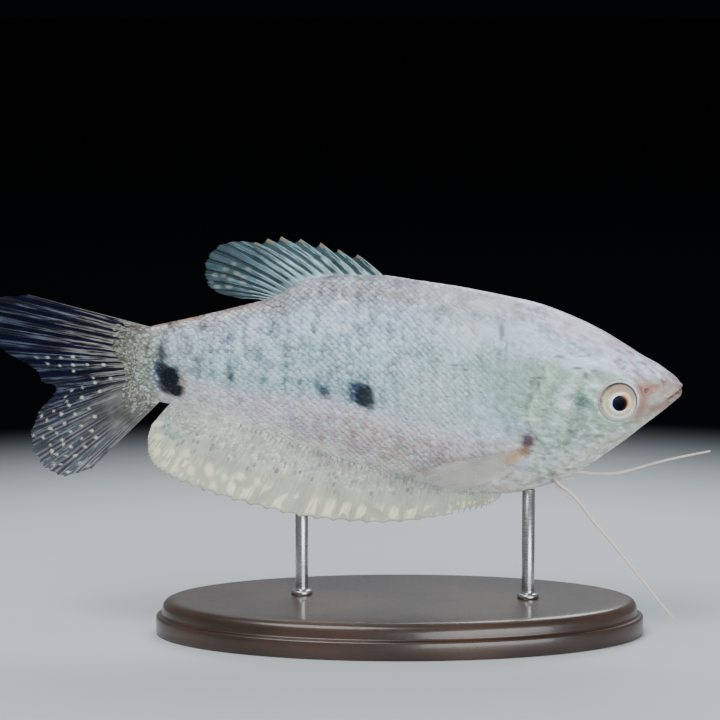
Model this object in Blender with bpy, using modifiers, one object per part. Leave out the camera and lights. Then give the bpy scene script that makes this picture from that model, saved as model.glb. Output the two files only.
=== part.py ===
"""An adult blue gourami, life size, as a still display model on a plain stand.

The fish swims towards +X with its back up (+Z); its right flank faces -Y.
The origin is the middle of the underside of the stand's base. Units are metres.
"""

import math
import random

import bmesh
import bpy
import numpy as np
from mathutils import Matrix, Vector

MM = 0.001

# Driving sizes of the fish
STANDARD_LENGTH = 90.3 * MM
SNOUT_X = 48.1 * MM
AXIS_Z = 40.4 * MM
TAIL_SWING = 7.0 * MM
STRAIGHT_PART = 30.0 * MM
GAP = 0.3 * MM

# Body sections: distance behind the snout, height of back and belly above the axis, half width, level of the
# widest point as a share of the depth below the back, and the roundness of the upper and lower half (2 is an ellipse)
BODY_SECTIONS = (
    (0.0, 2.5, 1.9, 0.15, 0.55, 2.0, 2.0),
    (0.4, 3.4, 1.1, 0.9, 0.55, 2.0, 2.0),
    (1.2, 4.3, 0.0, 1.6, 0.55, 2.1, 2.0),
    (2.4, 5.2, -1.1, 2.3, 0.55, 2.2, 2.0),
    (3.9, 6.3, -2.3, 3.0, 0.55, 2.2, 1.9),
    (6.5, 7.7, -4.3, 3.9, 0.55, 2.2, 1.9),
    (9.9, 9.9, -7.0, 4.8, 0.54, 2.2, 1.9),
    (14.1, 12.4, -10.0, 5.7, 0.54, 2.1, 1.85),
    (19.2, 14.8, -13.2, 6.5, 0.53, 2.0, 1.8),
    (24.3, 16.7, -15.0, 6.9, 0.52, 2.0, 1.8),
    (30.3, 18.1, -16.1, 7.0, 0.50, 1.9, 1.8),
    (37.9, 19.6, -15.2, 6.7, 0.49, 1.8, 1.75),
    (44.7, 20.6, -14.1, 6.3, 0.48, 1.7, 1.7),
    (51.5, 21.5, -12.4, 5.8, 0.47, 1.6, 1.6),
    (58.3, 21.5, -10.4, 5.2, 0.47, 1.6, 1.55),
    (64.3, 20.6, -8.4, 4.6, 0.46, 1.65, 1.5),
    (70.2, 17.7, -6.4, 4.0, 0.45, 1.75, 1.5),
    (77.0, 15.9, -4.0, 3.2, 0.45, 1.8, 1.5),
    (83.0, 14.3, -2.1, 2.5, 0.46, 1.85, 1.6),
    (88.1, 13.1, -0.9, 1.9, 0.48, 1.9, 1.8),
    (90.6, 12.4, -0.4, 1.5, 0.50, 1.9, 1.9),
    (92.3, 11.0, 0.8, 1.05, 0.50, 1.9, 1.9),
    (93.3, 9.2, 2.5, 0.7, 0.50, 1.9, 1.9),
    (93.8, 7.2, 4.6, 0.4, 0.50, 1.9, 1.9),
)
BODY_SIDES = 32

# Head
EYE_BEHIND = 10.9 * MM
EYE_HEIGHT = 0.35 * MM
EYE_RADIUS = 3.2 * MM
EYE_HALF_DEPTH = 1.9 * MM
EYE_PROUD = 0.45 * MM
EYE_TURN = math.radians(12)
MOUTH_SLOPE = math.radians(33)
MOUTH_HEIGHT = 2.15 * MM
MOUTH_LENGTH = 2.7 * MM
MOUTH_GAP = 0.3 * MM
LIP_RADIUS = 0.55 * MM
NOSTRILS = ((3.4, 4.0, 0.34), (6.2, 2.3, 0.42))

# Gill opening, which parts the head from the trunk, from the nape to the breast: behind the snout, above the axis
GILL_LINE = (
    (31.0, 21.0), (30.9, 17.4), (30.5, 12.8), (28.4, 8.6), (25.4, 5.2), (24.6, 3.7), (25.8, 1.6), (26.6, -0.8),
    (26.3, -3.2), (25.0, -5.5), (23.0, -7.6), (20.8, -9.6), (18.9, -12.0), (18.0, -14.6), (17.8, -17.0),
)
TAIL_STEM_LINE = ((70.6, 20.5), (70.4, 12.0), (71.4, 4.0), (72.6, -2.0), (73.2, -8.0))

# Gill cover, a plate in the cheek whose rear edge is the gill opening
GILL_COVER_OUTLINE = (
    (23.2, 3.3), (20.6, 2.6), (18.6, -0.6), (18.1, -4.2), (19.2, -7.6), (21.4, -10.2), (24.0, -9.2), (29.5, -6.0),
    (29.5, 4.4), (26.0, 5.0),
)
GILL_COVER_THICKNESS = 1.1 * MM
GILL_COVER_PROUD = 0.2 * MM

# Fins: thickness of the membrane and of the rays raised on it
MEMBRANE = 0.5 * MM
MARGIN = 0.34 * MM
RAY_ROOT = 0.95 * MM
RAY_TIP = 0.55 * MM
ROOT_SUNK = 1.6 * MM

# Guide rays, front to back: root behind the snout, then tip behind the snout and above the axis
DORSAL_SPINES, DORSAL_RAYS = 7, 9
DORSAL_GUIDES = (
    (51.3, 55.4, 25.0), (53.5, 58.7, 25.9), (55.8, 61.7, 27.0), (57.8, 65.1, 27.6), (59.7, 68.4, 28.0),
    (61.4, 70.7, 27.6), (62.9, 72.8, 27.0), (64.3, 74.9, 27.2), (65.5, 76.9, 27.1), (66.5, 79.0, 26.5),
    (67.6, 80.6, 25.1), (68.4, 81.4, 23.4), (69.3, 81.5, 21.5), (69.9, 80.9, 19.6), (70.6, 79.0, 18.3),
    (71.3, 75.4, 17.4),
)
ANAL_SPINES, ANAL_RAYS = 11, 35
ANAL_GUIDES = (
    (30.6, 31.3, -17.3), (32.6, 33.1, -18.6), (35.5, 36.6, -19.5), (39.8, 40.8, -20.2), (48.8, 51.0, -21.4),
    (57.6, 61.8, -20.8), (66.8, 72.5, -18.7), (76.0, 82.5, -15.8), (81.6, 88.5, -13.3), (83.8, 90.8, -11.6),
    (85.4, 91.6, -9.5), (86.6, 91.6, -7.4), (87.6, 90.9, -4.9),
)

# Tail fin rays: root behind the snout and above the axis, then the tip
TAIL_UPPER_RAYS = (
    (91.3, 12.3, 112.0, 17.5), (92.5, 11.2, 117.6, 16.9), (93.0, 10.2, 119.6, 15.5), (93.4, 8.9, 120.1, 13.7),
    (93.5, 7.9, 120.0, 11.7), (93.6, 7.0, 118.6, 9.3), (93.7, 6.4, 115.6, 7.1), (93.7, 5.9, 111.5, 5.1),
)
TAIL_LOWER_RAYS = (
    (93.7, 5.4, 111.2, 4.5), (93.6, 4.6, 109.9, 2.5), (93.5, 3.7, 107.4, 1.4), (93.2, 2.9, 110.1, -2.2),
    (92.9, 2.0, 112.2, -5.5), (92.4, 1.2, 112.2, -8.4), (91.7, 0.3, 111.0, -11.3), (90.9, -0.5, 107.8, -13.7),
    (89.8, -1.0, 101.9, -11.8),
)

# Pectoral fin guide rays: root behind the snout and above the axis, then the tip
PECTORAL_RAYS = 10
PECTORAL_GUIDES = (
    (27.0, -6.9, 43.0, -7.2), (27.1, -7.8, 48.0, -9.4), (27.2, -8.8, 49.8, -11.4), (27.3, -9.7, 47.0, -13.2),
    (27.3, -10.6, 40.6, -14.6),
)
PECTORAL_SPREAD = math.radians(11)

# Pelvic feelers: behind the snout, above the axis, out from the middle
FEELER_RIGHT = (
    (22.3, -12.6, 0.8), (21.3, -13.7, 2.2), (20.6, -14.3, 2.9), (19.5, -15.0, 3.4), (17.4, -17.1, 4.4),
    (15.4, -19.7, 5.5), (13.1, -22.2, 6.6), (10.8, -24.9, 7.8), (8.3, -27.9, 9.0), (5.8, -30.9, 10.2),
    (3.9, -33.2, 11.2), (1.9, -35.4, 12.2),
)
FEELER_LEFT = (
    (22.3, -12.7, 0.8), (21.0, -13.8, 2.3), (19.9, -13.6, 3.2), (18.7, -13.2, 3.7), (17.6, -13.1, 4.1),
    (16.1, -13.3, 4.5), (13.8, -13.6, 5.2), (11.6, -13.7, 5.9), (9.9, -13.6, 6.5), (7.2, -13.1, 7.4),
    (4.1, -12.4, 8.5), (1.0, -11.8, 9.5), (-1.7, -11.4, 10.5), (-4.0, -11.1, 11.4), (-6.3, -10.8, 12.2),
)
FEELER_SHORT_RIGHT = ((22.3, -12.8, 0.9), (21.4, -14.1, 2.2), (20.3, -15.3, 2.9), (18.9, -16.6, 3.3))
FEELER_SHORT_LEFT = ((22.3, -12.8, 0.9), (20.9, -14.1, 2.4), (19.5, -14.2, 3.3), (18.0, -14.1, 3.8))
FEELER_ROOT_RADIUS = 0.42 * MM
FEELER_TIP_RADIUS = 0.16 * MM
FEELER_POINTS = 26

# Stand
BASE_LENGTH = 84.0 * MM
BASE_WIDTH = 46.0 * MM
BASE_HEIGHT = 6.0 * MM
BASE_CORNERS = 56
BASE_BEVEL = 1.4 * MM
ROD_RADIUS = 1.1 * MM
ROD_SIDES = 20
ROD_SOCKET = 3.0 * MM
ROD_FRONT_BEHIND = 26.0 * MM
ROD_REAR_BEHIND = 65.0 * MM
ROD_REAR_OUT = 2.3 * MM

MATERIALS = {
    "skin": ((0.58, 0.61, 0.64), 0.35, 0.15),
    "gill_cover": ((0.56, 0.63, 0.58), 0.32, 0.15),
    "eye": ((0.78, 0.72, 0.60), 0.12, 0.30),
    "fin": ((0.50, 0.53, 0.56), 0.40, 0.0),
    "anal_fin": ((0.62, 0.62, 0.54), 0.40, 0.0),
    "feeler": ((0.86, 0.80, 0.74), 0.40, 0.0),
    "base": ((0.12, 0.07, 0.04), 0.45, 0.0),
    "rod": ((0.60, 0.60, 0.60), 0.30, 1.0),
}


# Scene and object helpers


def clear_scene():
    for obj in list(bpy.data.objects):
        bpy.data.objects.remove(obj, do_unlink=True)


def new_collection(name):
    collection = bpy.data.collections.new(name)
    bpy.context.scene.collection.children.link(collection)
    return collection


def make_materials():
    made = {}
    for name, (colour, roughness, metallic) in MATERIALS.items():
        material = bpy.data.materials.new(name)
        material.use_nodes = True
        shader = material.node_tree.nodes["Principled BSDF"]
        shader.inputs["Base Color"].default_value = (*colour, 1.0)
        shader.inputs["Roughness"].default_value = roughness
        shader.inputs["Metallic"].default_value = metallic
        material.diffuse_color = (*colour, 1.0)
        made[name] = material
    return made


def new_object(name, bm):
    """An object in the fish's collection from a bmesh, which is freed."""
    bmesh.ops.recalc_face_normals(bm, faces=bm.faces)
    mesh = bpy.data.meshes.new(name)
    bm.to_mesh(mesh)
    bm.free()
    obj = bpy.data.objects.new(name, mesh)
    PARTS.objects.link(obj)
    return obj


def apply_modifiers(obj):
    """The object's mesh becomes what its modifiers make of it."""
    graph = bpy.context.evaluated_depsgraph_get()
    mesh = bpy.data.meshes.new_from_object(obj.evaluated_get(graph))
    obj.modifiers.clear()
    obj.data = mesh


def combine(obj, other, operation):
    """Cuts, joins or intersects obj with another closed mesh, and applies it."""
    modifier = obj.modifiers.new(operation.lower(), "BOOLEAN")
    modifier.operation = operation
    modifier.object = other
    modifier.solver = "EXACT"
    apply_modifiers(obj)


def unite(obj, pieces):
    """Joins closed mesh pieces to obj in one Boolean union, and removes them."""
    gathered = bpy.data.collections.new("joined_pieces")
    for piece in pieces:
        gathered.objects.link(piece)
    modifier = obj.modifiers.new("union", "BOOLEAN")
    modifier.operation = "UNION"
    modifier.operand_type = "COLLECTION"
    modifier.collection = gathered
    modifier.solver = "EXACT"
    apply_modifiers(obj)
    remove(*pieces)
    bpy.data.collections.remove(gathered)


def remove(*objects):
    for obj in objects:
        bpy.data.objects.remove(obj, do_unlink=True)


def duplicate(obj, name):
    other = obj.copy()
    other.data = obj.data.copy()
    other.name = name
    PARTS.objects.link(other)
    return other


def face_islands(bm):
    """Connected groups of faces, as lists."""
    left, islands = set(bm.faces), []
    while left:
        stack, island = [left.pop()], []
        while stack:
            face = stack.pop()
            island.append(face)
            for edge in face.edges:
                for linked in edge.link_faces:
                    if linked in left:
                        left.remove(linked)
                        stack.append(linked)
        islands.append(island)
    return islands


def island_volume(island):
    total = 0.0
    for face in island:
        corners = [v.co for v in face.verts]
        for second, third in zip(corners[1:], corners[2:]):
            total += corners[0].dot(second.cross(third)) / 6
    return total


def keep_one(obj, choose):
    """Keeps only the closed surface that choose picks from [(volume, middle, faces)]."""
    bm = bmesh.new()
    bm.from_mesh(obj.data)
    found = []
    for island in face_islands(bm):
        middle = sum((f.calc_center_median() for f in island), Vector()) / len(island)
        found.append((island_volume(island), middle, island))
    kept = set(choose(found)[2])
    bmesh.ops.delete(bm, geom=[f for f in bm.faces if f not in kept], context="FACES")
    bm.to_mesh(obj.data)
    bm.free()


def keep_largest(obj):
    keep_one(obj, lambda found: max(found, key=lambda one: one[0]))


def finish_part(obj, material):
    """Gives a finished part its material and smooth shading with crisp edges kept."""
    obj.data.materials.clear()
    obj.data.materials.append(MADE_MATERIALS[material])
    obj.data.polygons.foreach_set("material_index", [0] * len(obj.data.polygons))
    obj.data.shade_smooth()
    obj.data.set_sharp_from_angle(angle=math.radians(40))


# Curves that the shapes follow


def smooth(positions, values, at):
    """A smooth curve through the values, with no overshoot between them."""
    x, y = np.asarray(positions, float), np.asarray(values, float)
    steps = np.diff(x)
    slopes = np.diff(y) / steps
    tangents = np.zeros(len(x))
    for i in range(1, len(x) - 1):
        if slopes[i - 1] * slopes[i] > 0:
            near, far = 2 * steps[i] + steps[i - 1], steps[i] + 2 * steps[i - 1]
            tangents[i] = (near + far) / (near / slopes[i - 1] + far / slopes[i])
    tangents[0], tangents[-1] = slopes[0], slopes[-1]
    at = min(max(at, x[0]), x[-1])
    i = min(int(np.searchsorted(x, at, side="right")) - 1, len(x) - 2)
    t = (at - x[i]) / steps[i]
    rise = y[i] * (1 + 2 * t) * (1 - t) ** 2 + y[i + 1] * t * t * (3 - 2 * t)
    return rise + steps[i] * t * (1 - t) * (tangents[i] * (1 - t) - tangents[i + 1] * t)


def swing(behind):
    """How far the body bends to the fish's left at this distance behind the snout."""
    share = max(behind - STRAIGHT_PART, 0.0) / STANDARD_LENGTH
    return TAIL_SWING * share * share


def place(behind, out, height):
    """A point of the fish: behind the snout, to its left, above its axis."""
    return Vector((SNOUT_X - behind, out + swing(behind), AXIS_Z + height))


def section(behind):
    """Back, belly, half width, widest height and roundness of the upper and lower half at a distance."""
    columns = list(zip(*BODY_SECTIONS))
    back, belly, half, level, upper, lower = (smooth(columns[0], c, behind / MM) for c in columns[1:])
    widest = back - (back - belly) * level
    return back * MM, belly * MM, half * MM, widest * MM, upper, lower


def flank(behind, height):
    """Half width of the body at a distance behind the snout and a height above the axis."""
    back, belly, half, widest, upper, lower = section(behind)
    power = upper if height > widest else lower
    reach = (back - widest) if height > widest else (widest - belly)
    share = min(abs(height - widest) / reach, 1.0)
    return half * (1 - share**power) ** (1 / power)


# Body


def body_loft(name, distances, inset=0.0):
    """A closed loft of the body's sections, all of it inset by a depth."""
    bm = bmesh.new()
    rings = []
    for behind in distances:
        back, belly, half, widest, upper, lower = section(behind)
        ring = []
        for side in range(BODY_SIDES):
            angle = 2 * math.pi * side / BODY_SIDES
            across, up = math.sin(angle), math.cos(angle)
            power = 2 / (upper if up > 0 else lower)
            reach = (back - widest if up > 0 else widest - belly) - inset
            out = math.copysign(abs(across) ** power, across) * (half - inset)
            ring.append(bm.verts.new(place(behind, out, widest + math.copysign(abs(up) ** power, up) * reach)))
        rings.append(ring)
    for ring, following in zip(rings, rings[1:]):
        for side in range(BODY_SIDES):
            after = (side + 1) % BODY_SIDES
            bm.faces.new((ring[side], ring[after], following[after], following[side]))
    for ring in (rings[0], rings[-1]):
        middle = bm.verts.new(sum((v.co for v in ring), Vector()) / BODY_SIDES)
        for side in range(BODY_SIDES):
            bm.faces.new((ring[side], ring[(side + 1) % BODY_SIDES], middle))
    return new_object(name, bm)


def body_distances():
    """Where the sections stand: close together at the snout and the root of the tail fin."""
    snout = np.linspace(0.06, 3.0, 8, endpoint=False)
    head = np.linspace(3.0, 31.0, 21, endpoint=False)
    trunk = np.linspace(31.0, 86.0, 26, endpoint=False)
    tail = np.linspace(86.0, 93.7, 8)
    return [d * MM for d in (*snout, *head, *trunk, *tail)]


def grown_body(body, by):
    """A copy of the body with its surface moved out, for cutting what meets it."""
    grown = duplicate(body, "grown_body")
    modifier = grown.modifiers.new("grow", "DISPLACE")
    modifier.strength = by
    modifier.mid_level = 0.0
    apply_modifiers(grown)
    return grown


def ribbon(name, line, thickness):
    """A thin wall across the whole body along a line drawn on its side."""
    bm = bmesh.new()
    reach = 14 * MM
    rows = [[bm.verts.new(place(b * MM, side * reach, h * MM)) for side in (-1, 1)] for b, h in line]
    for (a, b), (c, d) in zip(rows, rows[1:]):
        bm.faces.new((a, b, d, c))
    wall = new_object(name, bm)
    modifier = wall.modifiers.new("thickness", "SOLIDIFY")
    modifier.thickness = thickness
    modifier.offset = 0.0
    modifier.use_even_offset = True
    apply_modifiers(wall)
    return wall


def rounded_line(line, steps=3):
    """More points along a line, on a smooth curve through the given ones."""
    at = np.linspace(0, len(line) - 1, (len(line) - 1) * steps + 1)
    columns = list(zip(*line))
    return [tuple(smooth(range(len(line)), c, t) for c in columns) for t in at]


def prism(name, outline, grow):
    """The outline drawn on the body's side, grown by a distance, as a solid across the whole body."""
    middle = np.mean(outline, axis=0)
    bm = bmesh.new()
    loops = []
    for side in (-1, 1):
        loop = []
        for point in outline:
            away = (np.array(point) - middle) / np.linalg.norm(np.array(point) - middle)
            behind, height = np.array(point) * MM + away * grow
            loop.append(bm.verts.new(place(behind, side * 14 * MM, height)))
        loops.append(loop)
        bm.faces.new(loop)
    count = len(outline)
    for i in range(count):
        after = (i + 1) % count
        bm.faces.new((loops[0][i], loops[0][after], loops[1][after], loops[1][i]))
    return new_object(name, bm)


def ellipsoid(name, centre, radii, segments=24, rings=14, turn=0.0):
    """A sphere primitive stretched to three radii, with its poles on Y, then turned about the vertical."""
    bm = bmesh.new()
    bmesh.ops.create_uvsphere(bm, u_segments=segments, v_segments=rings, radius=1.0)
    bmesh.ops.rotate(bm, verts=bm.verts, matrix=Matrix.Rotation(math.pi / 2, 3, "X"))
    bmesh.ops.scale(bm, verts=bm.verts, vec=radii)
    bmesh.ops.rotate(bm, verts=bm.verts, matrix=Matrix.Rotation(turn, 3, "Z"))
    bmesh.ops.translate(bm, verts=bm.verts, vec=centre)
    return new_object(name, bm)


def tube(name, points, radii, bevel_resolution=2):
    """A curve tube through points, made a closed mesh with its caps welded."""
    data = bpy.data.curves.new(name, "CURVE")
    data.dimensions = "3D"
    data.bevel_depth = 1.0
    data.bevel_resolution = bevel_resolution
    data.use_fill_caps = True
    spline = data.splines.new("POLY")
    spline.points.add(len(points) - 1)
    for control, point, radius in zip(spline.points, points, radii):
        control.co = (*point, 1.0)
        control.radius = radius
    curve = bpy.data.objects.new(name + "_curve", data)
    PARTS.objects.link(curve)
    graph = bpy.context.evaluated_depsgraph_get()
    mesh = bpy.data.meshes.new_from_object(curve.evaluated_get(graph))
    bm = bmesh.new()
    bm.from_mesh(mesh)
    bmesh.ops.remove_doubles(bm, verts=bm.verts, dist=0.00001)
    remove(curve)
    return new_object(name, bm)


def lip(name, side):
    """A lip's half ring round the front of the snout, above (+1) or below (-1) the line of the mouth."""
    points = []
    share = np.linspace(-1, 1, 17)
    for t in share:
        behind = MOUTH_LENGTH * abs(t) ** 1.7 + 0.12 * MM
        height = MOUTH_HEIGHT - behind * math.tan(MOUTH_SLOPE) + side * 0.62 * MM * (1 - 0.35 * abs(t))
        out = math.copysign(flank(behind + 0.3 * MM, height), t) if t else 0.0
        points.append(place(behind + 0.25 * MM, out * 0.93, height))
    radii = [LIP_RADIUS * (1 - 0.5 * abs(t) ** 3) for t in share]
    return tube(name, points, radii)


def cut_mouth(head):
    """The line of the mouth, open from the tip of the snout to its corners."""
    bm = bmesh.new()
    bmesh.ops.create_cube(bm, size=1.0)
    reach = MOUTH_LENGTH / math.cos(MOUTH_SLOPE)
    bmesh.ops.scale(bm, verts=bm.verts, vec=(2 * reach, 12 * MM, MOUTH_GAP))
    bmesh.ops.rotate(bm, verts=bm.verts, matrix=Matrix.Rotation(-MOUTH_SLOPE, 3, "Y"))
    bmesh.ops.translate(bm, verts=bm.verts, vec=place(0, 0, MOUTH_HEIGHT))
    slot = new_object("mouth_slot", bm)
    combine(head, slot, "DIFFERENCE")
    remove(slot)


def cut_nostrils(head):
    for behind, height, radius in NOSTRILS:
        for side in (-1, 1):
            out = side * flank(behind * MM, height * MM)
            pit = ellipsoid("nostril", place(behind * MM, out, height * MM), (radius * MM,) * 3, 10, 6)
            combine(head, pit, "DIFFERENCE")
            remove(pit)


def eye_centre(side):
    depth = flank(EYE_BEHIND, EYE_HEIGHT) + EYE_PROUD - EYE_HALF_DEPTH
    return place(EYE_BEHIND, side * depth, EYE_HEIGHT)


def make_eyes(head):
    """The eyeballs, and the sockets that they sit in with a gap all round."""
    for side, name in ((-1, "eye_right"), (1, "eye_left")):
        radii = Vector((EYE_RADIUS, EYE_HALF_DEPTH, EYE_RADIUS))
        eye = ellipsoid(name, eye_centre(side), radii, turn=-side * EYE_TURN)
        socket = ellipsoid("socket", eye_centre(side), radii + Vector((GAP, GAP, GAP)), turn=-side * EYE_TURN)
        combine(head, socket, "DIFFERENCE")
        remove(socket)
        finish_part(eye, "eye")


def make_gill_covers(head):
    """A plate let into each cheek. It stands a little proud, and its rear edge is the gill opening."""
    depths = [d * MM for d in np.linspace(12, 32, 15)]
    bed = body_loft("gill_bed", depths, GILL_COVER_THICKNESS + GAP)
    back_of_plate = body_loft("gill_plate_back", depths, GILL_COVER_THICKNESS)
    region = prism("gill_region", GILL_COVER_OUTLINE, 0.0)
    pocket = prism("gill_pocket", GILL_COVER_OUTLINE, GAP)
    plates = duplicate(head, "gill_plates")
    combine(plates, region, "INTERSECT")
    combine(plates, back_of_plate, "DIFFERENCE")
    combine(pocket, bed, "DIFFERENCE")
    combine(head, pocket, "DIFFERENCE")
    keep_largest(head)
    for side, name in ((-1, "gill_cover_right"), (1, "gill_cover_left")):
        plate = duplicate(plates, name)
        keep_one(plate, lambda found: max(found, key=lambda one: side * one[1].y * one[0]))
        plate.data.transform(Matrix.Translation((0, side * GILL_COVER_PROUD, 0)))
        finish_part(plate, "gill_cover")
    remove(bed, back_of_plate, region, pocket, plates)


def part_body(body):
    """Parts the body into head, trunk and tail stem with thin cuts along the gill opening and behind the back fin."""
    walls = [
        ribbon("gill_wall", rounded_line(GILL_LINE), GAP),
        ribbon("tail_stem_wall", rounded_line(TAIL_STEM_LINE), GAP),
    ]
    for wall in walls:
        combine(body, wall, "DIFFERENCE")
    remove(*walls)
    names = ("head", "trunk", "tail_stem")
    made = []
    for i, name in enumerate(names):
        part = duplicate(body, name)
        large = lambda found: sorted(sorted(found, key=lambda one: -one[0])[:3], key=lambda one: -one[1].x)
        keep_one(part, lambda found: large(found)[i])
        made.append(part)
    remove(body)
    return made


# Fins


def guided(guides, count):
    """Rows of the guide table spread evenly over a number of rays, as tuples in metres."""
    at = np.linspace(0, len(guides) - 1, count)
    columns = list(zip(*guides))
    return [tuple(smooth(range(len(guides)), c, t) * MM for c in columns) for t in at]


def sunk(root, tip, depth):
    """The root moved back along its ray, into the body."""
    return root - (tip - root).normalized() * depth


def fin_sheet(name, rays, notches, rows, shift, bow=0.0):
    """A fin as a membrane with its rays raised on both faces.

    rays: (root, tip) pairs of (behind, out, height) vectors; notches: how much the membrane falls short of the tips
    between each pair of rays; shift(u, v): sideways move at ray share u and height share v.
    """
    columns = 2 * len(rays) - 1
    bm = bmesh.new()
    bmesh.ops.create_grid(bm, x_segments=columns - 1, y_segments=rows, size=0.5)
    bmesh.ops.triangulate(bm, faces=bm.faces, quad_method="FIXED")
    thick = max(RAY_ROOT, MEMBRANE)
    weights = {}
    for vert in bm.verts:
        column = round((vert.co.x + 0.5) * (columns - 1))
        v = vert.co.y + 0.5
        first = rays[column // 2]
        second = rays[(column + 1) // 2]
        on_ray = column % 2 == 0
        if not on_ray:
            v *= 1 - notches[column // 2]
        point = sum(((root.lerp(tip, v)) for root, tip in (first, second)), Vector()) / 2
        length = (first[1] - first[0]).length
        point.z += bow * length * 4 * v * (1 - v)
        point.y += shift(column / (columns - 1), v)
        ray_thickness = RAY_ROOT + (RAY_TIP - RAY_ROOT) * v
        membrane = MARGIN if v > 0.9 else MEMBRANE
        weights[vert.index] = (ray_thickness if on_ray else membrane) / thick
        vert.co = place(point.x, point.y, point.z)
    sheet = new_object(name, bm)
    group = sheet.vertex_groups.new(name="thickness")
    for index, weight in weights.items():
        group.add([index], weight, "REPLACE")
    modifier = sheet.modifiers.new("thickness", "SOLIDIFY")
    modifier.thickness = thick
    modifier.offset = 0.0
    modifier.vertex_group = "thickness"
    modifier.thickness_vertex_group = 0.0
    apply_modifiers(sheet)
    return sheet


def seat(fin, grown):
    """Cuts a fin's sunk root off along the body's surface, with the gap between them."""
    combine(fin, grown, "DIFFERENCE")
    keep_largest(fin)


def median_rays(guides, count, edge, varied):
    """Rays that grow from the back or the belly: edge(behind) gives the height of their roots."""
    rays = []
    for root_behind, tip_behind, tip_height in guided(guides, count):
        root = Vector((root_behind, 0, edge(root_behind)))
        tip = Vector((tip_behind, 0, tip_height))
        tip = root.lerp(tip, 1 + varied * random.uniform(-1, 1))
        rays.append((sunk(root, tip, ROOT_SUNK), tip))
    return rays


def make_dorsal_fin(grown):
    count = DORSAL_SPINES + DORSAL_RAYS
    rays = median_rays(DORSAL_GUIDES, count, lambda b: section(b)[0], 0.01)
    notches = [0.16 if i < DORSAL_SPINES - 1 else 0.025 for i in range(count - 1)]
    fin = fin_sheet("dorsal_fin", rays, notches, 7, lambda u, v: 0.5 * MM * math.sin(5 * u) * v, 0.04)
    seat(fin, grown)
    finish_part(fin, "fin")


def make_anal_fin(grown):
    count = ANAL_SPINES + ANAL_RAYS
    rays = median_rays(ANAL_GUIDES, count, lambda b: section(b)[1], 0.008)
    notches = [0.22 if i < ANAL_SPINES - 1 else 0.05 for i in range(count - 1)]
    fin = fin_sheet("anal_fin", rays, notches, 5, lambda u, v: 0.7 * MM * math.sin(9 * u) * v * v)
    seat(fin, grown)
    finish_part(fin, "anal_fin")


def make_tail_fin(grown):
    lobes = (("tail_fin_upper", TAIL_UPPER_RAYS, 0.5), ("tail_fin_lower", TAIL_LOWER_RAYS, -2.6))
    for name, lines, lean in lobes:
        rays = []
        for root_behind, root_height, tip_behind, tip_height in lines:
            root = Vector((root_behind, 0, root_height)) * MM
            tip = Vector((tip_behind, 0, tip_height)) * MM
            rays.append((sunk(root, tip, ROOT_SUNK), tip))
        notches = [0.03] * (len(rays) - 1)
        share = (lambda u: 1 - u) if lean > 0 else (lambda u: u)
        fin = fin_sheet(name, rays, notches, 9, lambda u, v: lean * MM * share(u) * v * v)
        seat(fin, grown)
        finish_part(fin, "fin")


def make_pectoral_fins(grown):
    for side, name in ((-1, "pectoral_fin_right"), (1, "pectoral_fin_left")):
        rays = []
        for root_behind, root_height, tip_behind, tip_height in guided(PECTORAL_GUIDES, PECTORAL_RAYS):
            surface = flank(root_behind, root_height) - swing(root_behind) * side
            reach = tip_behind - root_behind
            root = Vector((root_behind - 1.0 * MM, side * (surface - 0.9 * MM), root_height))
            out = surface + reach * math.tan(PECTORAL_SPREAD) - side * swing(tip_behind)
            rays.append((root, Vector((tip_behind, side * out, tip_height))))
        cup = lambda u, v: side * 1.1 * MM * math.sin(math.pi * v)
        fin = fin_sheet(name, rays, [0.03] * (PECTORAL_RAYS - 1), 7, cup)
        seat(fin, grown)
        finish_part(fin, "fin")


def make_feelers(grown):
    """The thread-like pelvic fins, each with a short second ray at its root."""
    feelers = (
        (-1, "pelvic_feeler_right", FEELER_RIGHT, FEELER_SHORT_RIGHT),
        (1, "pelvic_feeler_left", FEELER_LEFT, FEELER_SHORT_LEFT),
    )
    for side, name, route, short_route in feelers:
        shapes = []
        for points, count in ((route, FEELER_POINTS), (short_route, 7)):
            path = [place(b, side * o, h) for b, h, o in guided(points, count)]
            share = np.linspace(0, 1, count)
            radii = [FEELER_ROOT_RADIUS + (FEELER_TIP_RADIUS - FEELER_ROOT_RADIUS) * t**1.3 for t in share]
            shapes.append(tube(name, path, radii))
        feeler, short_ray = shapes
        unite(feeler, [short_ray])
        seat(feeler, grown)
        feeler.name = name
        finish_part(feeler, "feeler")


# Stand


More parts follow.
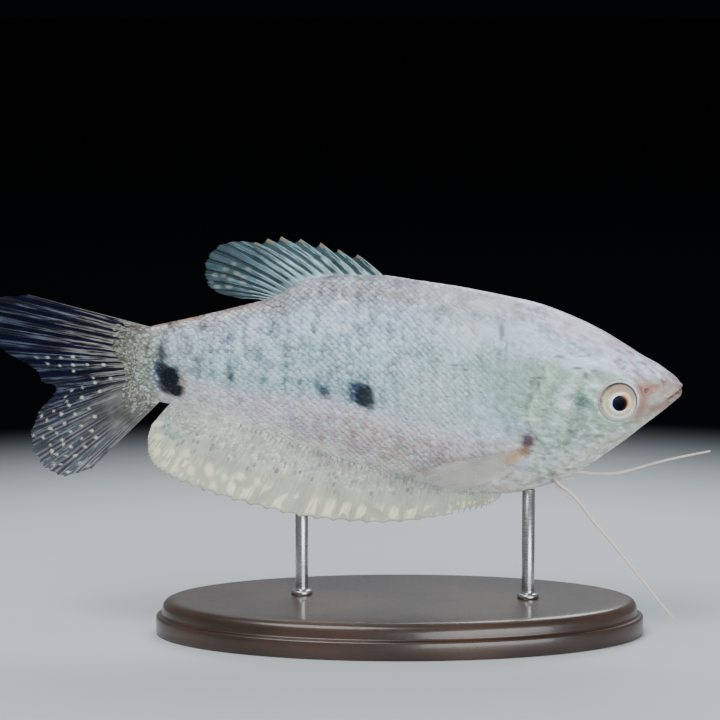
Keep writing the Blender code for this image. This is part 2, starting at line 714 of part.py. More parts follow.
def make_stand(grown):
    """An oval base with two rods that stand in sockets and reach up to the body."""
    bm = bmesh.new()
    bmesh.ops.create_cone(
        bm, cap_ends=True, segments=BASE_CORNERS, radius1=0.5, radius2=0.5, depth=1.0,
        matrix=Matrix.Translation((0, 0, 0.5)),
    )
    bmesh.ops.scale(bm, verts=bm.verts, vec=(BASE_LENGTH, BASE_WIDTH, BASE_HEIGHT))
    rim = [e for e in bm.edges if all(v.co.z > BASE_HEIGHT / 2 for v in e.verts)]
    bmesh.ops.bevel(bm, geom=rim, offset=BASE_BEVEL, segments=3, profile=0.5, affect="EDGES")
    base = new_object("stand_base", bm)
    rods = (
        ("stand_rod_front", ROD_FRONT_BEHIND, 0.0, section(ROD_FRONT_BEHIND)[1]),
        ("stand_rod_rear", ROD_REAR_BEHIND, ROD_REAR_OUT, section(ROD_REAR_BEHIND)[3]),
    )
    for name, behind, out, top in rods:
        foot = place(behind, out, 0)
        foot.z = BASE_HEIGHT - ROD_SOCKET
        rod = cylinder(name, foot, ROD_RADIUS, AXIS_Z + top + 3 * MM - foot.z)
        seat(rod, grown)
        keep_one(rod, lambda found: min(found, key=lambda one: one[1].z))
        finish_part(rod, "rod")
        socket = cylinder("socket", foot - Vector((0, 0, GAP)), ROD_RADIUS + GAP, BASE_HEIGHT)
        combine(base, socket, "DIFFERENCE")
        remove(socket)
    finish_part(base, "base")


def cylinder(name, foot, radius, height):
    bm = bmesh.new()
    bmesh.ops.create_cone(
        bm, cap_ends=True, segments=ROD_SIDES, radius1=radius, radius2=radius, depth=height,
        matrix=Matrix.Translation(foot + Vector((0, 0, height / 2))),
    )
    return new_object(name, bm)


def main():
    random.seed(7)
    body = body_loft("body", body_distances())
    grown = grown_body(body, GAP)
    make_dorsal_fin(grown)
    make_anal_fin(grown)
    make_tail_fin(grown)
    make_pectoral_fins(grown)
    make_feelers(grown)
    make_stand(grown)
    remove(grown)
    unite(body, [lip("upper_lip", 1), lip("lower_lip", -1)])
    cut_mouth(body)
    cut_nostrils(body)
    make_eyes(body)
    head, trunk, tail_stem = part_body(body)
    make_gill_covers(head)
    for part in (head, trunk, tail_stem):
        finish_part(part, "skin")


clear_scene()
PARTS = new_collection("blue_gourami")
MADE_MATERIALS = make_materials()
main()
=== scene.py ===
"""A blue gourami, life size, dressed for its display stand.

Run as a script, this builds the fish's skin, scales, eyes, fins, feelers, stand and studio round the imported
frame. Lengths are metres in the frame's own axes: +X to the snout, +Y to the fish's left, +Z up. Tables of
the fish's own measures are in millimetres: distance behind the snout, height above the axis, and distance
out from the middle.
"""

import math

import bmesh
import bpy
import numpy as np
from bpy.props import FloatProperty, FloatVectorProperty, IntProperty, PointerProperty
from mathutils import Matrix, Vector


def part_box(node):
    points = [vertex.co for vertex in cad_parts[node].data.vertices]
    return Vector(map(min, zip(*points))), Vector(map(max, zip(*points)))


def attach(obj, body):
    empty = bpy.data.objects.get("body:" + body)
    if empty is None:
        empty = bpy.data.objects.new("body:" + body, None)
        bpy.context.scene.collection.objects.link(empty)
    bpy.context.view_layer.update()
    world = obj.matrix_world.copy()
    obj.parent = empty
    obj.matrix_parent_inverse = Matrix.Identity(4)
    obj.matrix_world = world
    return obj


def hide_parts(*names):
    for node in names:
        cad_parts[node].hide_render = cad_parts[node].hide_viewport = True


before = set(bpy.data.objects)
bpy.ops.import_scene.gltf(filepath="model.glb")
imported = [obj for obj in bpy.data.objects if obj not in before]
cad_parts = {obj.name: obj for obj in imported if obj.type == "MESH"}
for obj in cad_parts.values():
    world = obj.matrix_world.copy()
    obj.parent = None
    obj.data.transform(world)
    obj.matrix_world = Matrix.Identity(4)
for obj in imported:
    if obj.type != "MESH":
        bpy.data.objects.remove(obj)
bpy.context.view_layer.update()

bl_info = {
    "name": "Blue Gourami",
    "version": (1, 0, 0),
    "blender": (4, 5, 0),
    "location": "View3D > Sidebar > Gourami",
    "description": "Builds a life-size blue gourami on a display stand",
    "category": "Add Mesh",
}

MM = 0.001

# The fish's place in the frame
SNOUT_X = 48.1
AXIS_Z = 40.4
STANDARD_LENGTH = 90.3
TAIL_SWING = 7.0
STRAIGHT_PART = 30.0

# Body sections: behind, back, belly, half width, level of the widest point, roundness above and below it
BODY_SECTIONS = (
    (0.0, 2.5, 1.9, 0.15, 0.55, 2.0, 2.0),
    (0.4, 3.4, 1.1, 0.9, 0.55, 2.0, 2.0),
    (1.2, 4.3, 0.0, 1.6, 0.55, 2.1, 2.0),
    (2.4, 5.2, -1.1, 2.3, 0.55, 2.2, 2.0),
    (3.9, 6.3, -2.3, 3.0, 0.55, 2.2, 1.9),
    (6.5, 7.7, -4.3, 3.9, 0.55, 2.2, 1.9),
    (9.9, 9.9, -7.0, 4.8, 0.54, 2.2, 1.9),
    (14.1, 12.4, -10.0, 5.7, 0.54, 2.1, 1.85),
    (19.2, 14.8, -13.2, 6.5, 0.53, 2.0, 1.8),
    (24.3, 16.7, -15.0, 6.9, 0.52, 2.0, 1.8),
    (30.3, 18.1, -16.1, 7.0, 0.50, 1.9, 1.8),
    (37.9, 19.6, -15.2, 6.7, 0.49, 1.8, 1.75),
    (44.7, 20.6, -14.1, 6.3, 0.48, 1.7, 1.7),
    (51.5, 21.5, -12.4, 5.8, 0.47, 1.6, 1.6),
    (58.3, 21.5, -10.4, 5.2, 0.47, 1.6, 1.55),
    (64.3, 20.6, -8.4, 4.6, 0.46, 1.65, 1.5),
    (70.2, 17.5, -6.4, 4.0, 0.45, 1.75, 1.5),
    (77.0, 15.65, -4.0, 3.2, 0.45, 1.8, 1.5),
    (83.0, 14.15, -2.1, 2.5, 0.46, 1.85, 1.6),
    (88.1, 13.0, -0.9, 1.9, 0.48, 1.9, 1.8),
    (90.6, 12.4, -0.4, 1.5, 0.50, 1.9, 1.9),
    (92.3, 11.0, 0.8, 1.05, 0.50, 1.9, 1.9),
    (93.3, 9.2, 2.5, 0.7, 0.50, 1.9, 1.9),
    (93.8, 7.2, 4.6, 0.4, 0.50, 1.9, 1.9),
)

# Head: eye, mouth line, nostrils and the free edge of the gill cover
EYE = (11.1, 0.6)
EYE_RADIUS = 3.2
EYE_HALF_DEPTH = 1.9
EYE_PROUD = 0.45
EYE_TURN = math.radians(8)
MOUTH_TOP = (0.0, 2.15)
MOUTH_CORNER = (2.7, 0.4)
NOSTRILS = ((3.4, 4.0, 0.30), (6.2, 2.3, 0.36))
GILL_EDGE = (
    (18.6, -12.6), (20.8, -9.6), (23.0, -7.6), (25.0, -5.5), (26.3, -3.2), (26.6, -0.8), (25.8, 1.6),
    (24.6, 3.7), (23.6, 5.0),
)
CHEEK = (13.2, -2.4, 6.6)
# The nape, above this level, ends behind the snout here and goes back by its slope
NAPE_LEVEL, NAPE_END, NAPE_SLOPE = 4.6, 25.0, 0.30

# Fin guide rays, front to back: root behind the snout, then the tip behind the snout and above the axis
DORSAL_SPINES, DORSAL_RAYS = 7, 9
DORSAL_GUIDES = (
    (51.3, 55.4, 25.0), (53.5, 58.7, 25.9), (55.8, 61.7, 27.0), (57.8, 65.1, 27.6), (59.7, 68.4, 28.0),
    (61.4, 70.7, 27.6), (62.9, 72.8, 27.0), (64.3, 74.9, 27.2), (65.5, 76.9, 27.1), (66.5, 79.0, 26.5),
    (67.6, 80.6, 25.1), (68.4, 81.4, 23.4), (69.3, 81.5, 21.5), (69.9, 80.9, 19.6), (70.6, 79.0, 18.3),
    (71.3, 75.4, 17.4),
)
ANAL_SPINES, ANAL_RAYS = 11, 35
ANAL_GUIDES = (
    (30.6, 31.3, -17.3), (32.6, 33.1, -18.6), (35.5, 36.6, -19.5), (39.8, 40.8, -20.2), (48.8, 51.0, -21.4),
    (57.6, 61.8, -20.8), (66.8, 72.5, -18.7), (76.0, 82.5, -15.8), (81.6, 88.5, -13.3), (83.8, 90.8, -11.6),
    (85.4, 91.6, -9.5), (86.6, 91.6, -7.4), (87.6, 90.9, -4.9),
)

# Tail fin rays from top to bottom: root behind and above, tip behind and above, lean of the tip to the left
TAIL_RAYS = (
    (91.3, 12.3, 112.0, 17.5, 0.5), (92.5, 11.2, 117.6, 16.9, 0.43), (93.0, 10.2, 119.6, 15.5, 0.36),
    (93.4, 8.9, 120.1, 13.7, 0.29), (93.5, 7.9, 120.0, 11.7, 0.21), (93.6, 7.0, 118.6, 9.3, 0.14),
    (93.7, 6.4, 115.6, 7.1, 0.07), (93.7, 5.65, 111.4, 4.8, 0.0), (93.6, 4.6, 109.9, 2.5, -0.33),
    (93.5, 3.7, 107.4, 1.4, -0.65), (93.2, 2.9, 110.4, -2.6, -0.98), (92.9, 2.0, 111.8, -6.0, -1.3),
    (92.4, 1.2, 111.5, -9.4, -1.63), (91.7, 0.3, 109.5, -12.1, -1.95), (90.9, -0.5, 105.9, -13.7, -2.28),
    (89.8, -1.0, 101.2, -12.2, -2.6),
)

# Pectoral fin guide rays: root behind and above, then the tip behind and above
PECTORAL_RAYS = 10
PECTORAL_GUIDES = (
    (27.0, -6.9, 40.5, -9.4), (27.1, -7.8, 45.5, -11.2), (27.2, -8.8, 47.0, -12.9), (27.3, -9.7, 44.5, -14.2),
    (27.3, -10.6, 39.0, -15.0),
)
PECTORAL_SPREAD = math.radians(11)

# Pelvic feelers and the short ray beside each root: behind, height, out
FEELER_RIGHT = (
    (22.3, -12.6, 0.8), (21.3, -13.7, 2.2), (20.6, -14.3, 2.9), (19.5, -15.0, 3.4), (17.4, -17.1, 4.4),
    (15.4, -19.7, 5.5), (13.1, -22.2, 6.6), (10.8, -24.9, 7.8), (8.3, -27.9, 9.0), (5.8, -30.9, 10.2),
    (3.9, -33.2, 11.2), (1.9, -35.4, 12.2),
)
FEELER_LEFT = (
    (22.3, -12.7, 0.8), (21.0, -13.8, 2.3), (19.9, -13.6, 3.2), (18.7, -13.2, 3.7), (17.6, -13.1, 4.1),
    (16.1, -13.3, 4.5), (13.8, -13.6, 5.2), (11.6, -13.7, 5.9), (9.9, -13.6, 6.5), (7.2, -13.1, 7.4),
    (4.1, -12.4, 8.5), (1.0, -11.8, 9.5), (-1.7, -11.4, 10.5), (-4.0, -11.1, 11.4), (-6.3, -10.8, 12.2),
)
FEELER_SHORT_RIGHT = ((22.3, -12.8, 0.9), (21.4, -14.1, 2.2), (20.3, -15.3, 2.9), (18.9, -16.6, 3.3))
FEELER_SHORT_LEFT = ((22.3, -12.8, 0.9), (20.9, -14.1, 2.4), (19.5, -14.2, 3.3), (18.0, -14.1, 3.8))

# Cream spots on the fins: behind and height, and on the anal fin also half length and half height
TAIL_SPOTS = (
    (110.6, 6.6), (108.7, 6.7), (106.4, 6.7), (104.3, 6.9), (108.7, 5.6), (106.6, 5.3), (104.3, 5.5),
    (101.8, 5.6), (99.0, 5.6), (104.2, 4.4), (100.8, 3.3), (100.5, 2.5), (97.8, 3.3), (102.7, 1.6),
    (104.6, 1.1), (105.7, 0.0), (102.8, -0.1), (99.7, 1.0), (105.4, -0.8), (105.0, -1.5), (107.7, -2.5),
    (106.4, -3.0), (104.0, -3.0), (101.6, -2.0), (100.6, -3.4), (109.8, -3.4), (108.9, -4.1), (105.9, -4.6),
    (102.9, -5.0), (108.3, -5.5), (104.8, -6.0), (107.2, -6.3), (101.1, -5.8), (109.6, -7.1), (111.1, -6.8),
    (106.3, -7.5), (102.9, -7.2), (100.4, -7.0), (106.0, -8.2), (108.3, -8.4), (104.8, -8.6), (102.3, -8.6),
    (108.0, -9.4), (107.2, -9.9), (105.5, -10.2), (104.0, -10.1), (107.7, -11.5), (106.5, -11.6),
    (103.2, -11.4), (101.7, -11.7), (105.2, -12.9),
)
DORSAL_SPOTS = (
    (77.9, 22.4, 0.6, 0.35), (75.9, 21.7, 0.6, 0.4), (73.9, 22.5, 0.6, 0.35), (79.7, 21.4, 0.6, 0.35),
    (78.2, 21.3, 0.5, 0.3), (77.0, 20.7, 0.6, 0.35), (74.9, 21.1, 0.5, 0.3), (79.3, 19.4, 0.6, 0.35),
    (77.3, 19.4, 0.6, 0.35), (74.9, 20.1, 0.5, 0.3), (80.3, 20.2, 0.4, 0.3), (76.4, 23.3, 0.5, 0.3),
)
ANAL_SPOTS = (
    (89.8, -4.5, 1.3, 0.6), (89.7, -6.8, 1.1, 0.55), (89.9, -9.4, 0.7, 0.9), (87.3, -9.4, 0.5, 0.75),
    (84.7, -9.5, 0.75, 0.8), (84.0, -12.5, 0.75, 0.9), (80.9, -12.4, 0.8, 1.2), (78.3, -13.6, 0.6, 0.8),
    (75.4, -13.4, 0.8, 0.7), (77.6, -10.1, 0.7, 0.7), (73.0, -9.9, 0.8, 0.5), (82.4, -6.5, 0.9, 0.6),
    (84.8, -4.6, 0.8, 0.5), (86.6, -12.2, 0.4, 0.7), (80.2, -14.9, 0.5, 0.7), (77.0, -14.8, 0.6, 0.6),
    (72.5, -14.4, 0.6, 0.8), (67.8, -11.9, 0.5, 1.2), (78.6, -7.7, 0.6, 0.6), (65.2, -13.1, 0.4, 1.0),
    (88.7, -11.5, 0.6, 0.5),
)


def tone(*screen):
    """A colour given as it looks on screen, 0 to 255, as the linear colour that shaders use."""
    shares = (level / 255 for level in screen)
    return tuple(c / 12.92 if c <= 0.04045 else ((c + 0.055) / 1.055) ** 2.4 for c in shares)


def lit(paint, share):
    """A colour made darker or lighter."""
    return tuple(level * share for level in paint)


def colour(name, screen, description):
    """A colour property whose default is given as it looks on screen."""
    settings = {"subtype": "COLOR", "size": 3, "min": 0, "max": 1}
    return FloatVectorProperty(name=name, description=description, default=tone(*screen), **settings)


def number(name, value, description, **settings):
    return FloatProperty(name=name, description=description, default=value, **settings)


def length(name, value, description):
    """A length property whose default is given in millimetres."""
    return number(name, value * MM, description, unit="LENGTH", min=0, precision=5)


# Settings


class GouramiColours(bpy.types.PropertyGroup):
    """Colours of the fish and of its stand."""

    back: colour("Back", (158, 160, 170), "Lavender grey of the back")
    silver: colour("Silver", (178, 201, 223), "Blue-white band under the back")
    flank: colour("Flank", (165, 200, 209), "Pale blue-green of the flank")
    lower_flank: colour("Lower flank", (218, 211, 220), "Pinkish grey band under the middle of the flank")
    belly: colour("Belly", (255, 248, 236), "Warm grey of the belly")
    cheek: colour("Cheek", (164, 190, 176), "Mint grey of the gill cover and the cheek")
    forehead: colour("Forehead", (218, 217, 246), "Pale lavender of the forehead")
    snout: colour("Snout", (170, 138, 132), "Reddish brown of the lips and the nostrils")
    blotch: colour("Blotch", (3, 11, 22), "Blue-black of the two body spots")
    fin_spot: colour("Fin spot", (218, 226, 204), "Cream spots on the fins")
    anal_fin: colour("Anal fin", (209, 216, 200), "Grey-green of the anal fin")
    iris: colour("Iris", (234, 232, 204), "Silver beige of the iris")
    iris_ring: colour("Iris ring", (255, 255, 246), "Bright ring round the pupil")
    feeler: colour("Feeler", (226, 212, 200), "Cream white of the feelers")
    wood: colour("Base wood", (58, 40, 30), "Dark stain of the stand's base")
    floor: colour("Floor", (203, 210, 214), "Pale floor")


class GouramiSizes(bpy.types.PropertyGroup):
    """Sizes and counts of the fish's detail."""

    rings_round: IntProperty(
        name="Points round the body", description="Points of the skin's rings", default=256, min=32,
    )
    scale_length: length("Scale length", 1.22, "Distance from one scale to the next along the flank")
    scale_row: length("Scale row", 0.57, "Distance from one row of scales to the next")
    scale_lift: length("Scale lift", 0.062, "How far a scale's free edge stands off the skin")
    seed: IntProperty(name="Seed", description="Seed of the small variations", default=11, min=0)


class GouramiStage(bpy.types.PropertyGroup):
    """Camera, floor and light."""

    distance: number("Camera distance", 0.6, "From the camera to the fish", unit="LENGTH")
    elevation: number("Camera elevation", math.radians(8), "How far the camera looks down", subtype="ANGLE")
    view_width: number("View width", 0.1229, "Width seen at the fish", unit="LENGTH")
    target_x: number("Target X", -0.00683, "Middle of the view", unit="LENGTH")
    target_z: number("Target Z", 0.0474, "Middle of the view", unit="LENGTH")
    key_power: number("Key light", 4.9, "Power of the large light above", unit="POWER")
    fill_power: number("Fill light", 9.2, "Power of the light by the camera", unit="POWER")
    rim_power: number("Rim light", 3.0, "Power of the light behind", unit="POWER")


def colours():
    return bpy.context.scene.gourami_colours


def sizes():
    return bpy.context.scene.gourami_sizes


def random_numbers(offset):
    """Random numbers that are the same in each run."""
    return np.random.default_rng(sizes().seed + offset)


# Curves and surfaces of the body, in millimetres


class Curve:
    """A smooth curve through values, with no overshoot between them unless it is loose."""

    def __init__(self, positions, values, loose=False):
        self.x, self.y = np.asarray(positions, float), np.asarray(values, float)
        steps = np.diff(self.x)
        slopes = np.diff(self.y) / steps
        self.tangents = np.zeros(len(self.x))
        for i in range(1, len(self.x) - 1):
            if slopes[i - 1] * slopes[i] > 0:
                near, far = 2 * steps[i] + steps[i - 1], steps[i] + 2 * steps[i - 1]
                self.tangents[i] = (near + far) / (near / slopes[i - 1] + far / slopes[i])
        if loose:
            self.tangents[1:-1] = (self.y[2:] - self.y[:-2]) / (self.x[2:] - self.x[:-2])
        self.tangents[0], self.tangents[-1] = slopes[0], slopes[-1]

    def __call__(self, at):
        at = np.clip(at, self.x[0], self.x[-1])
        i = np.clip(np.searchsorted(self.x, at, side="right") - 1, 0, len(self.x) - 2)
        step = self.x[i + 1] - self.x[i]
        t = (at - self.x[i]) / step
        rise = self.y[i] * (1 + 2 * t) * (1 - t) ** 2 + self.y[i + 1] * t * t * (3 - 2 * t)
        return rise + step * t * (1 - t) * (self.tangents[i] * (1 - t) - self.tangents[i + 1] * t)


SECTION_CURVES = [Curve(list(zip(*BODY_SECTIONS))[0], column) for column in list(zip(*BODY_SECTIONS))[1:]]


def section(behind):
    """Back, belly, half width, widest height and roundness above and below it."""
    back, belly, half, level, upper, lower = (curve(behind) for curve in SECTION_CURVES)
    return back, belly, half, back - (back - belly) * level, upper, lower


def flank(behind, height):
    """Half width of the body at a distance behind the snout and a height above the axis."""
    back, belly, half, widest, upper, lower = section(behind)
    above = height > widest
    power = np.where(above, upper, lower)
    reach = np.where(above, back - widest, widest - belly)
    share = np.clip(np.abs(height - widest) / reach, 0, 1)
    return half * (1 - share**power) ** (1 / power)


def swing(behind):
    share = np.maximum(np.asarray(behind, float) - STRAIGHT_PART, 0) / STANDARD_LENGTH
    return TAIL_SWING * share * share


def place(behind, out, height):
    """Points of the fish, as an array of frame coordinates in metres."""
    points = np.stack(np.broadcast_arrays(SNOUT_X - behind, out + swing(behind), AXIS_Z + height), axis=-1)
    return points * MM


def step_up(value, low, high):
    """0 below low, 1 above high, and smooth between them."""
    t = np.clip((value - low) / (high - low), 0, 1)
    return t * t * (3 - 2 * t)


def bell(value, middle, width):
    return np.exp(-(((value - middle) / width) ** 2))


GILL_CURVE = Curve([h for b, h in GILL_EDGE], [b for b, h in GILL_EDGE])


def relief(behind, height):
    """How far the skin stands out from the plain body, in millimetres."""
    made = gill_cover_relief(behind, height) + orbit_relief(behind, height)
    return made + mouth_relief(behind, height) + cheek_relief(behind, height)


def gill_cover_relief(behind, height):
    """The gill cover, whose free rear edge stands off the body over a shallow groove."""
    past = behind - GILL_CURVE(height)
    reach = step_up(height, -9.0, -3.5) * (1 - step_up(height, 3.6, 5.2))
    plate = 0.27 * step_up(past, -7.5, -0.5) * (1 - step_up(past, -0.12, 0.16))
    groove = -0.12 * step_up(past, -0.05, 0.2) * (1 - step_up(past, 0.3, 1.4))
    return (plate + groove) * reach


def orbit_relief(behind, height):
    """The socket of the eye and the low rim and brow round it."""
    away = np.hypot(behind - EYE[0], height - EYE[1])
    rim = 0.16 * bell(away, 3.9, 0.55)
    brow = 0.16 * bell(behind, EYE[0] - 0.5, 3.0) * bell(height, EYE[1] + 4.6, 0.9)
    return rim + brow - 1.5 * (1 - step_up(away, 2.95, 3.3))


def mouth_relief(behind, height):
    """The line of the mouth, the lips on both sides of it, the fold behind its corner, and the nostrils."""
    run, drop = MOUTH_CORNER[0] - MOUTH_TOP[0], MOUTH_CORNER[1] - MOUTH_TOP[1]
    size = math.hypot(run, drop)
    along = ((behind - MOUTH_TOP[0]) * run + (height - MOUTH_TOP[1]) * drop) / size
    above = ((height - MOUTH_TOP[1]) * run - (behind - MOUTH_TOP[0]) * drop) / size
    inside = 1 - step_up(along, size - 0.35, size + 0.25)
    lips = 0.30 * bell(above, 0.50, 0.34) + 0.34 * bell(above, -0.58, 0.40)
    line = -0.50 * bell(above, 0.0, 0.13)
    past_corner = step_up(along, size - 0.3, size + 0.3) * (1 - step_up(along, size + 1, size + 2.6))
    fold = -0.13 * bell(above, -0.25, 0.22) * past_corner
    pits = 0.0
    for b, h, radius in NOSTRILS:
        away = np.hypot(behind - b, height - h)
        pits = pits + 0.05 * bell(away, 1.5 * radius, 0.5 * radius) - 0.26 * bell(away, 0.0, 0.7 * radius)
    return (lips + line) * inside + fold + pits


def cheek_relief(behind, height):
    """The preopercle's curved groove behind and under the eye, and the folds of the throat."""
    b, h, radius = CHEEK
    away = np.hypot(behind - b, height - h)
    turn = np.degrees(np.arctan2(height - h, behind - b))
    reach = step_up(turn, -125, -85) * (1 - step_up(turn, 40, 70))
    groove = (-0.13 * bell(away, radius + 0.1, 0.22) + 0.07 * bell(away, radius - 0.6, 0.5)) * reach
    belly = section(behind)[1]
    low = step_up(behind, 10, 13) * (1 - step_up(behind, 18, 20)) * (1 - step_up(height - belly, 2.5, 4.5))
    folds = 0.07 * np.sin((height - belly) * 5.2 + behind * 0.9) * low
    return groove + folds


def body_surface(behind, angle, side):
    """Points and heights of one side of the skin, at angles from the back (0) to the belly (pi)."""
    back, belly, half, widest, upper, lower = section(behind)
    up, across = np.cos(angle), np.sin(angle)
    power = 2 / np.where(up > 0, upper, lower)
    reach = np.where(up > 0, back - widest, widest - belly)
    height = widest + np.sign(up) * np.abs(up) ** power * reach
    out = np.maximum(across, 0) ** power * half
    return place(behind, side * out, height), height


def face_normals(points):
    """Unit normals of a grid of points, by the differences to its neighbours."""
    first = np.gradient(points, axis=0)
    second = np.gradient(points, axis=1)
    normals = np.cross(first, second)
    size = np.linalg.norm(normals, axis=-1, keepdims=True)
    return normals / np.maximum(size, 1e-12)


def girth_share(behind, height):
    """0 on the back and 1 on the belly."""
    back, belly = section(behind)[:2]
    return np.clip((back - height) / np.maximum(back - belly, 0.1), 0, 1)


class Flank:
    """One side of the skin as a table of points: along the fish, then by the distance round the body."""

    START, END, STEP = 0.3, 93.6, 0.15
    REACH, ROW = 24.0, 0.15

    def __init__(self, side):
        self.side = side
        behind = np.arange(self.START, self.END, self.STEP)
        angles = np.linspace(0.0, math.pi, 361)
        b, a = np.meshgrid(behind, angles, indexing="ij")
        points, heights = body_surface(b, a, side)
        middle = self.middle(behind)
        self.arcs = np.arange(-self.REACH, self.REACH, self.ROW)
        table = np.zeros((len(behind), len(self.arcs), 3))
        height_table = np.zeros(table.shape[:2])
        self.lowest, self.highest = np.zeros(len(behind)), np.zeros(len(behind))
        for i in range(len(behind)):
            walked = np.concatenate(([0], np.cumsum(np.linalg.norm(np.diff(points[i], axis=0), axis=1)))) / MM
            start = np.interp(-middle[i], -heights[i], walked)
            self.lowest[i], self.highest[i] = start - walked[-1], start
            at = np.clip(start - self.arcs, 0, walked[-1])
            for k in range(3):
                table[i, :, k] = np.interp(at, walked, points[i, :, k])
            height_table[i] = np.interp(at, walked, heights[i])
        normals = face_normals(table) * (-side)
        turned = np.sign(normals[:, :, 1] * side)
        normals = normals * np.where(turned == 0, 1, turned)[:, :, None]
        self.heights = height_table
        self.points = table + normals * relief(b[:, :1], height_table)[:, :, None] * MM
        self.normals = normals

    @staticmethod
    def middle(behind):
        """The height that the rows of scales are counted from."""
        back, belly = section(behind)[:2]
        return belly + (back - belly) * 0.55

    def look_up(self, table, behind, arc):
        x = np.clip((behind - self.START) / self.STEP, 0, table.shape[0] - 1.001)
        y = np.clip((arc + self.REACH) / self.ROW, 0, table.shape[1] - 1.001)
        i, j = x.astype(int), y.astype(int)
        u, v = x - i, y - j
        if table.ndim == 3:
            u, v = u[..., None], v[..., None]
        low = table[i, j] * (1 - u) + table[i + 1, j] * u
        high = table[i, j + 1] * (1 - u) + table[i + 1, j + 1] * u
        return low * (1 - v) + high * v

    def limits(self, behind):
        """How far the rows go down to the belly and up to the back."""
        at = self.START + self.STEP * np.arange(len(self.lowest))
        return np.interp(behind, at, self.lowest), np.interp(behind, at, self.highest)

    def at(self, behind, arc):
        """Point, normal and height above the axis on the skin."""
        found = self.look_up(self.points, behind, arc), self.look_up(self.normals, behind, arc)
        return (*found, self.look_up(self.heights, behind, arc))


# Meshes


def add_object(name, data):
    made = bpy.data.objects.new(name, data)
    bpy.context.scene.collection.objects.link(made)
    return made


def solid_piece(name, points, faces, material, nodes=(), attributes=(), uv=None):
    """A closed mesh with its finish, attached to the root body, which hides the frame's nodes that it stands
    for.

    attributes are (name, value for each point), and uv holds a pair for each point.
    """
    mesh = bpy.data.meshes.new(name)
    mesh.from_pydata(points.tolist(), [], faces)
    for label, values in attributes:
        layer = mesh.attributes.new(label, "FLOAT", "POINT")
        layer.data.foreach_set("value", np.asarray(values, np.float32).ravel())
    if uv is not None:
        layer = mesh.uv_layers.new(name="OFBake")
        corners = np.zeros(len(mesh.loops), int)
        mesh.loops.foreach_get("vertex_index", corners)
        layer.data.foreach_set("uv", np.asarray(uv, np.float32)[corners].ravel())
    mesh.shade_smooth()
    bm = bmesh.new()
    bm.from_mesh(mesh)
    bmesh.ops.recalc_face_normals(bm, faces=bm.faces)
    bm.to_mesh(mesh)
    bm.free()
    mesh.materials.append(material)
    piece = add_object(name, mesh)
    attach(piece, "root")
    if nodes:
        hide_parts(*nodes)
    return piece


def grid_faces(rows, columns, closed=False):
    """Quads of a grid whose points run row by row; closed joins the last column to the first."""
    across = columns if closed else columns - 1
    row, column = np.meshgrid(np.arange(rows - 1), np.arange(across), indexing="ij")
    start, after = row * columns, (column + 1) % columns
    quads = np.stack([start + column, start + after, start + columns + after, start + columns + column])
    return quads.reshape(4, -1).T.tolist()


def circle(count):
    """Angles of points spread evenly round a circle."""
    return np.arange(count) * 2 * math.pi / count


def fan(first, around, centre):
    """Triangles from a ring of points to one point."""
    return [[first + i, first + (i + 1) % around, centre] for i in range(around)]


def wall(rim, count):
    """Quads between a closed rim and its copy, which is numbered on by count."""
    return [[a, b, b + count, a + count] for a, b in zip(rim, rim[1:] + rim[:1])]


def combined(parts):
    """Several pairs of points and faces put together: points stacked and faces numbered on."""
    points, faces, start = [], [], 0
    for part_points, part_faces in parts:
        points.append(part_points)
        faces.extend([start + i for i in face] for face in part_faces)
        start += len(part_points)
    return np.concatenate(points), faces


# Shader nodes


class Value:
    """What a node puts out. Arithmetic with values and numbers adds Math nodes to their tree."""

    def __init__(self, tree, socket):
        self.tree, self.socket = tree, socket


def arithmetic(operation, swapped=False):
    """A method that adds one Math node; swapped puts the other value first."""

    def apply(self, other):
        return self.tree.math(operation, *((other, self) if swapped else (self, other)))

    return apply


for sign, operation in (("add", "ADD"), ("sub", "SUBTRACT"), ("mul", "MULTIPLY"), ("truediv", "DIVIDE")):
    setattr(Value, "__" + sign + "__", arithmetic(operation))
    setattr(Value, "__r" + sign + "__", arithmetic(operation, swapped=True))


def sine(value):
    return value.tree.math("SINE", value)


def cosine(value):
    return value.tree.math("COSINE", value)


def maximum(first, second):
    return first.tree.math("MAXIMUM", first, second)


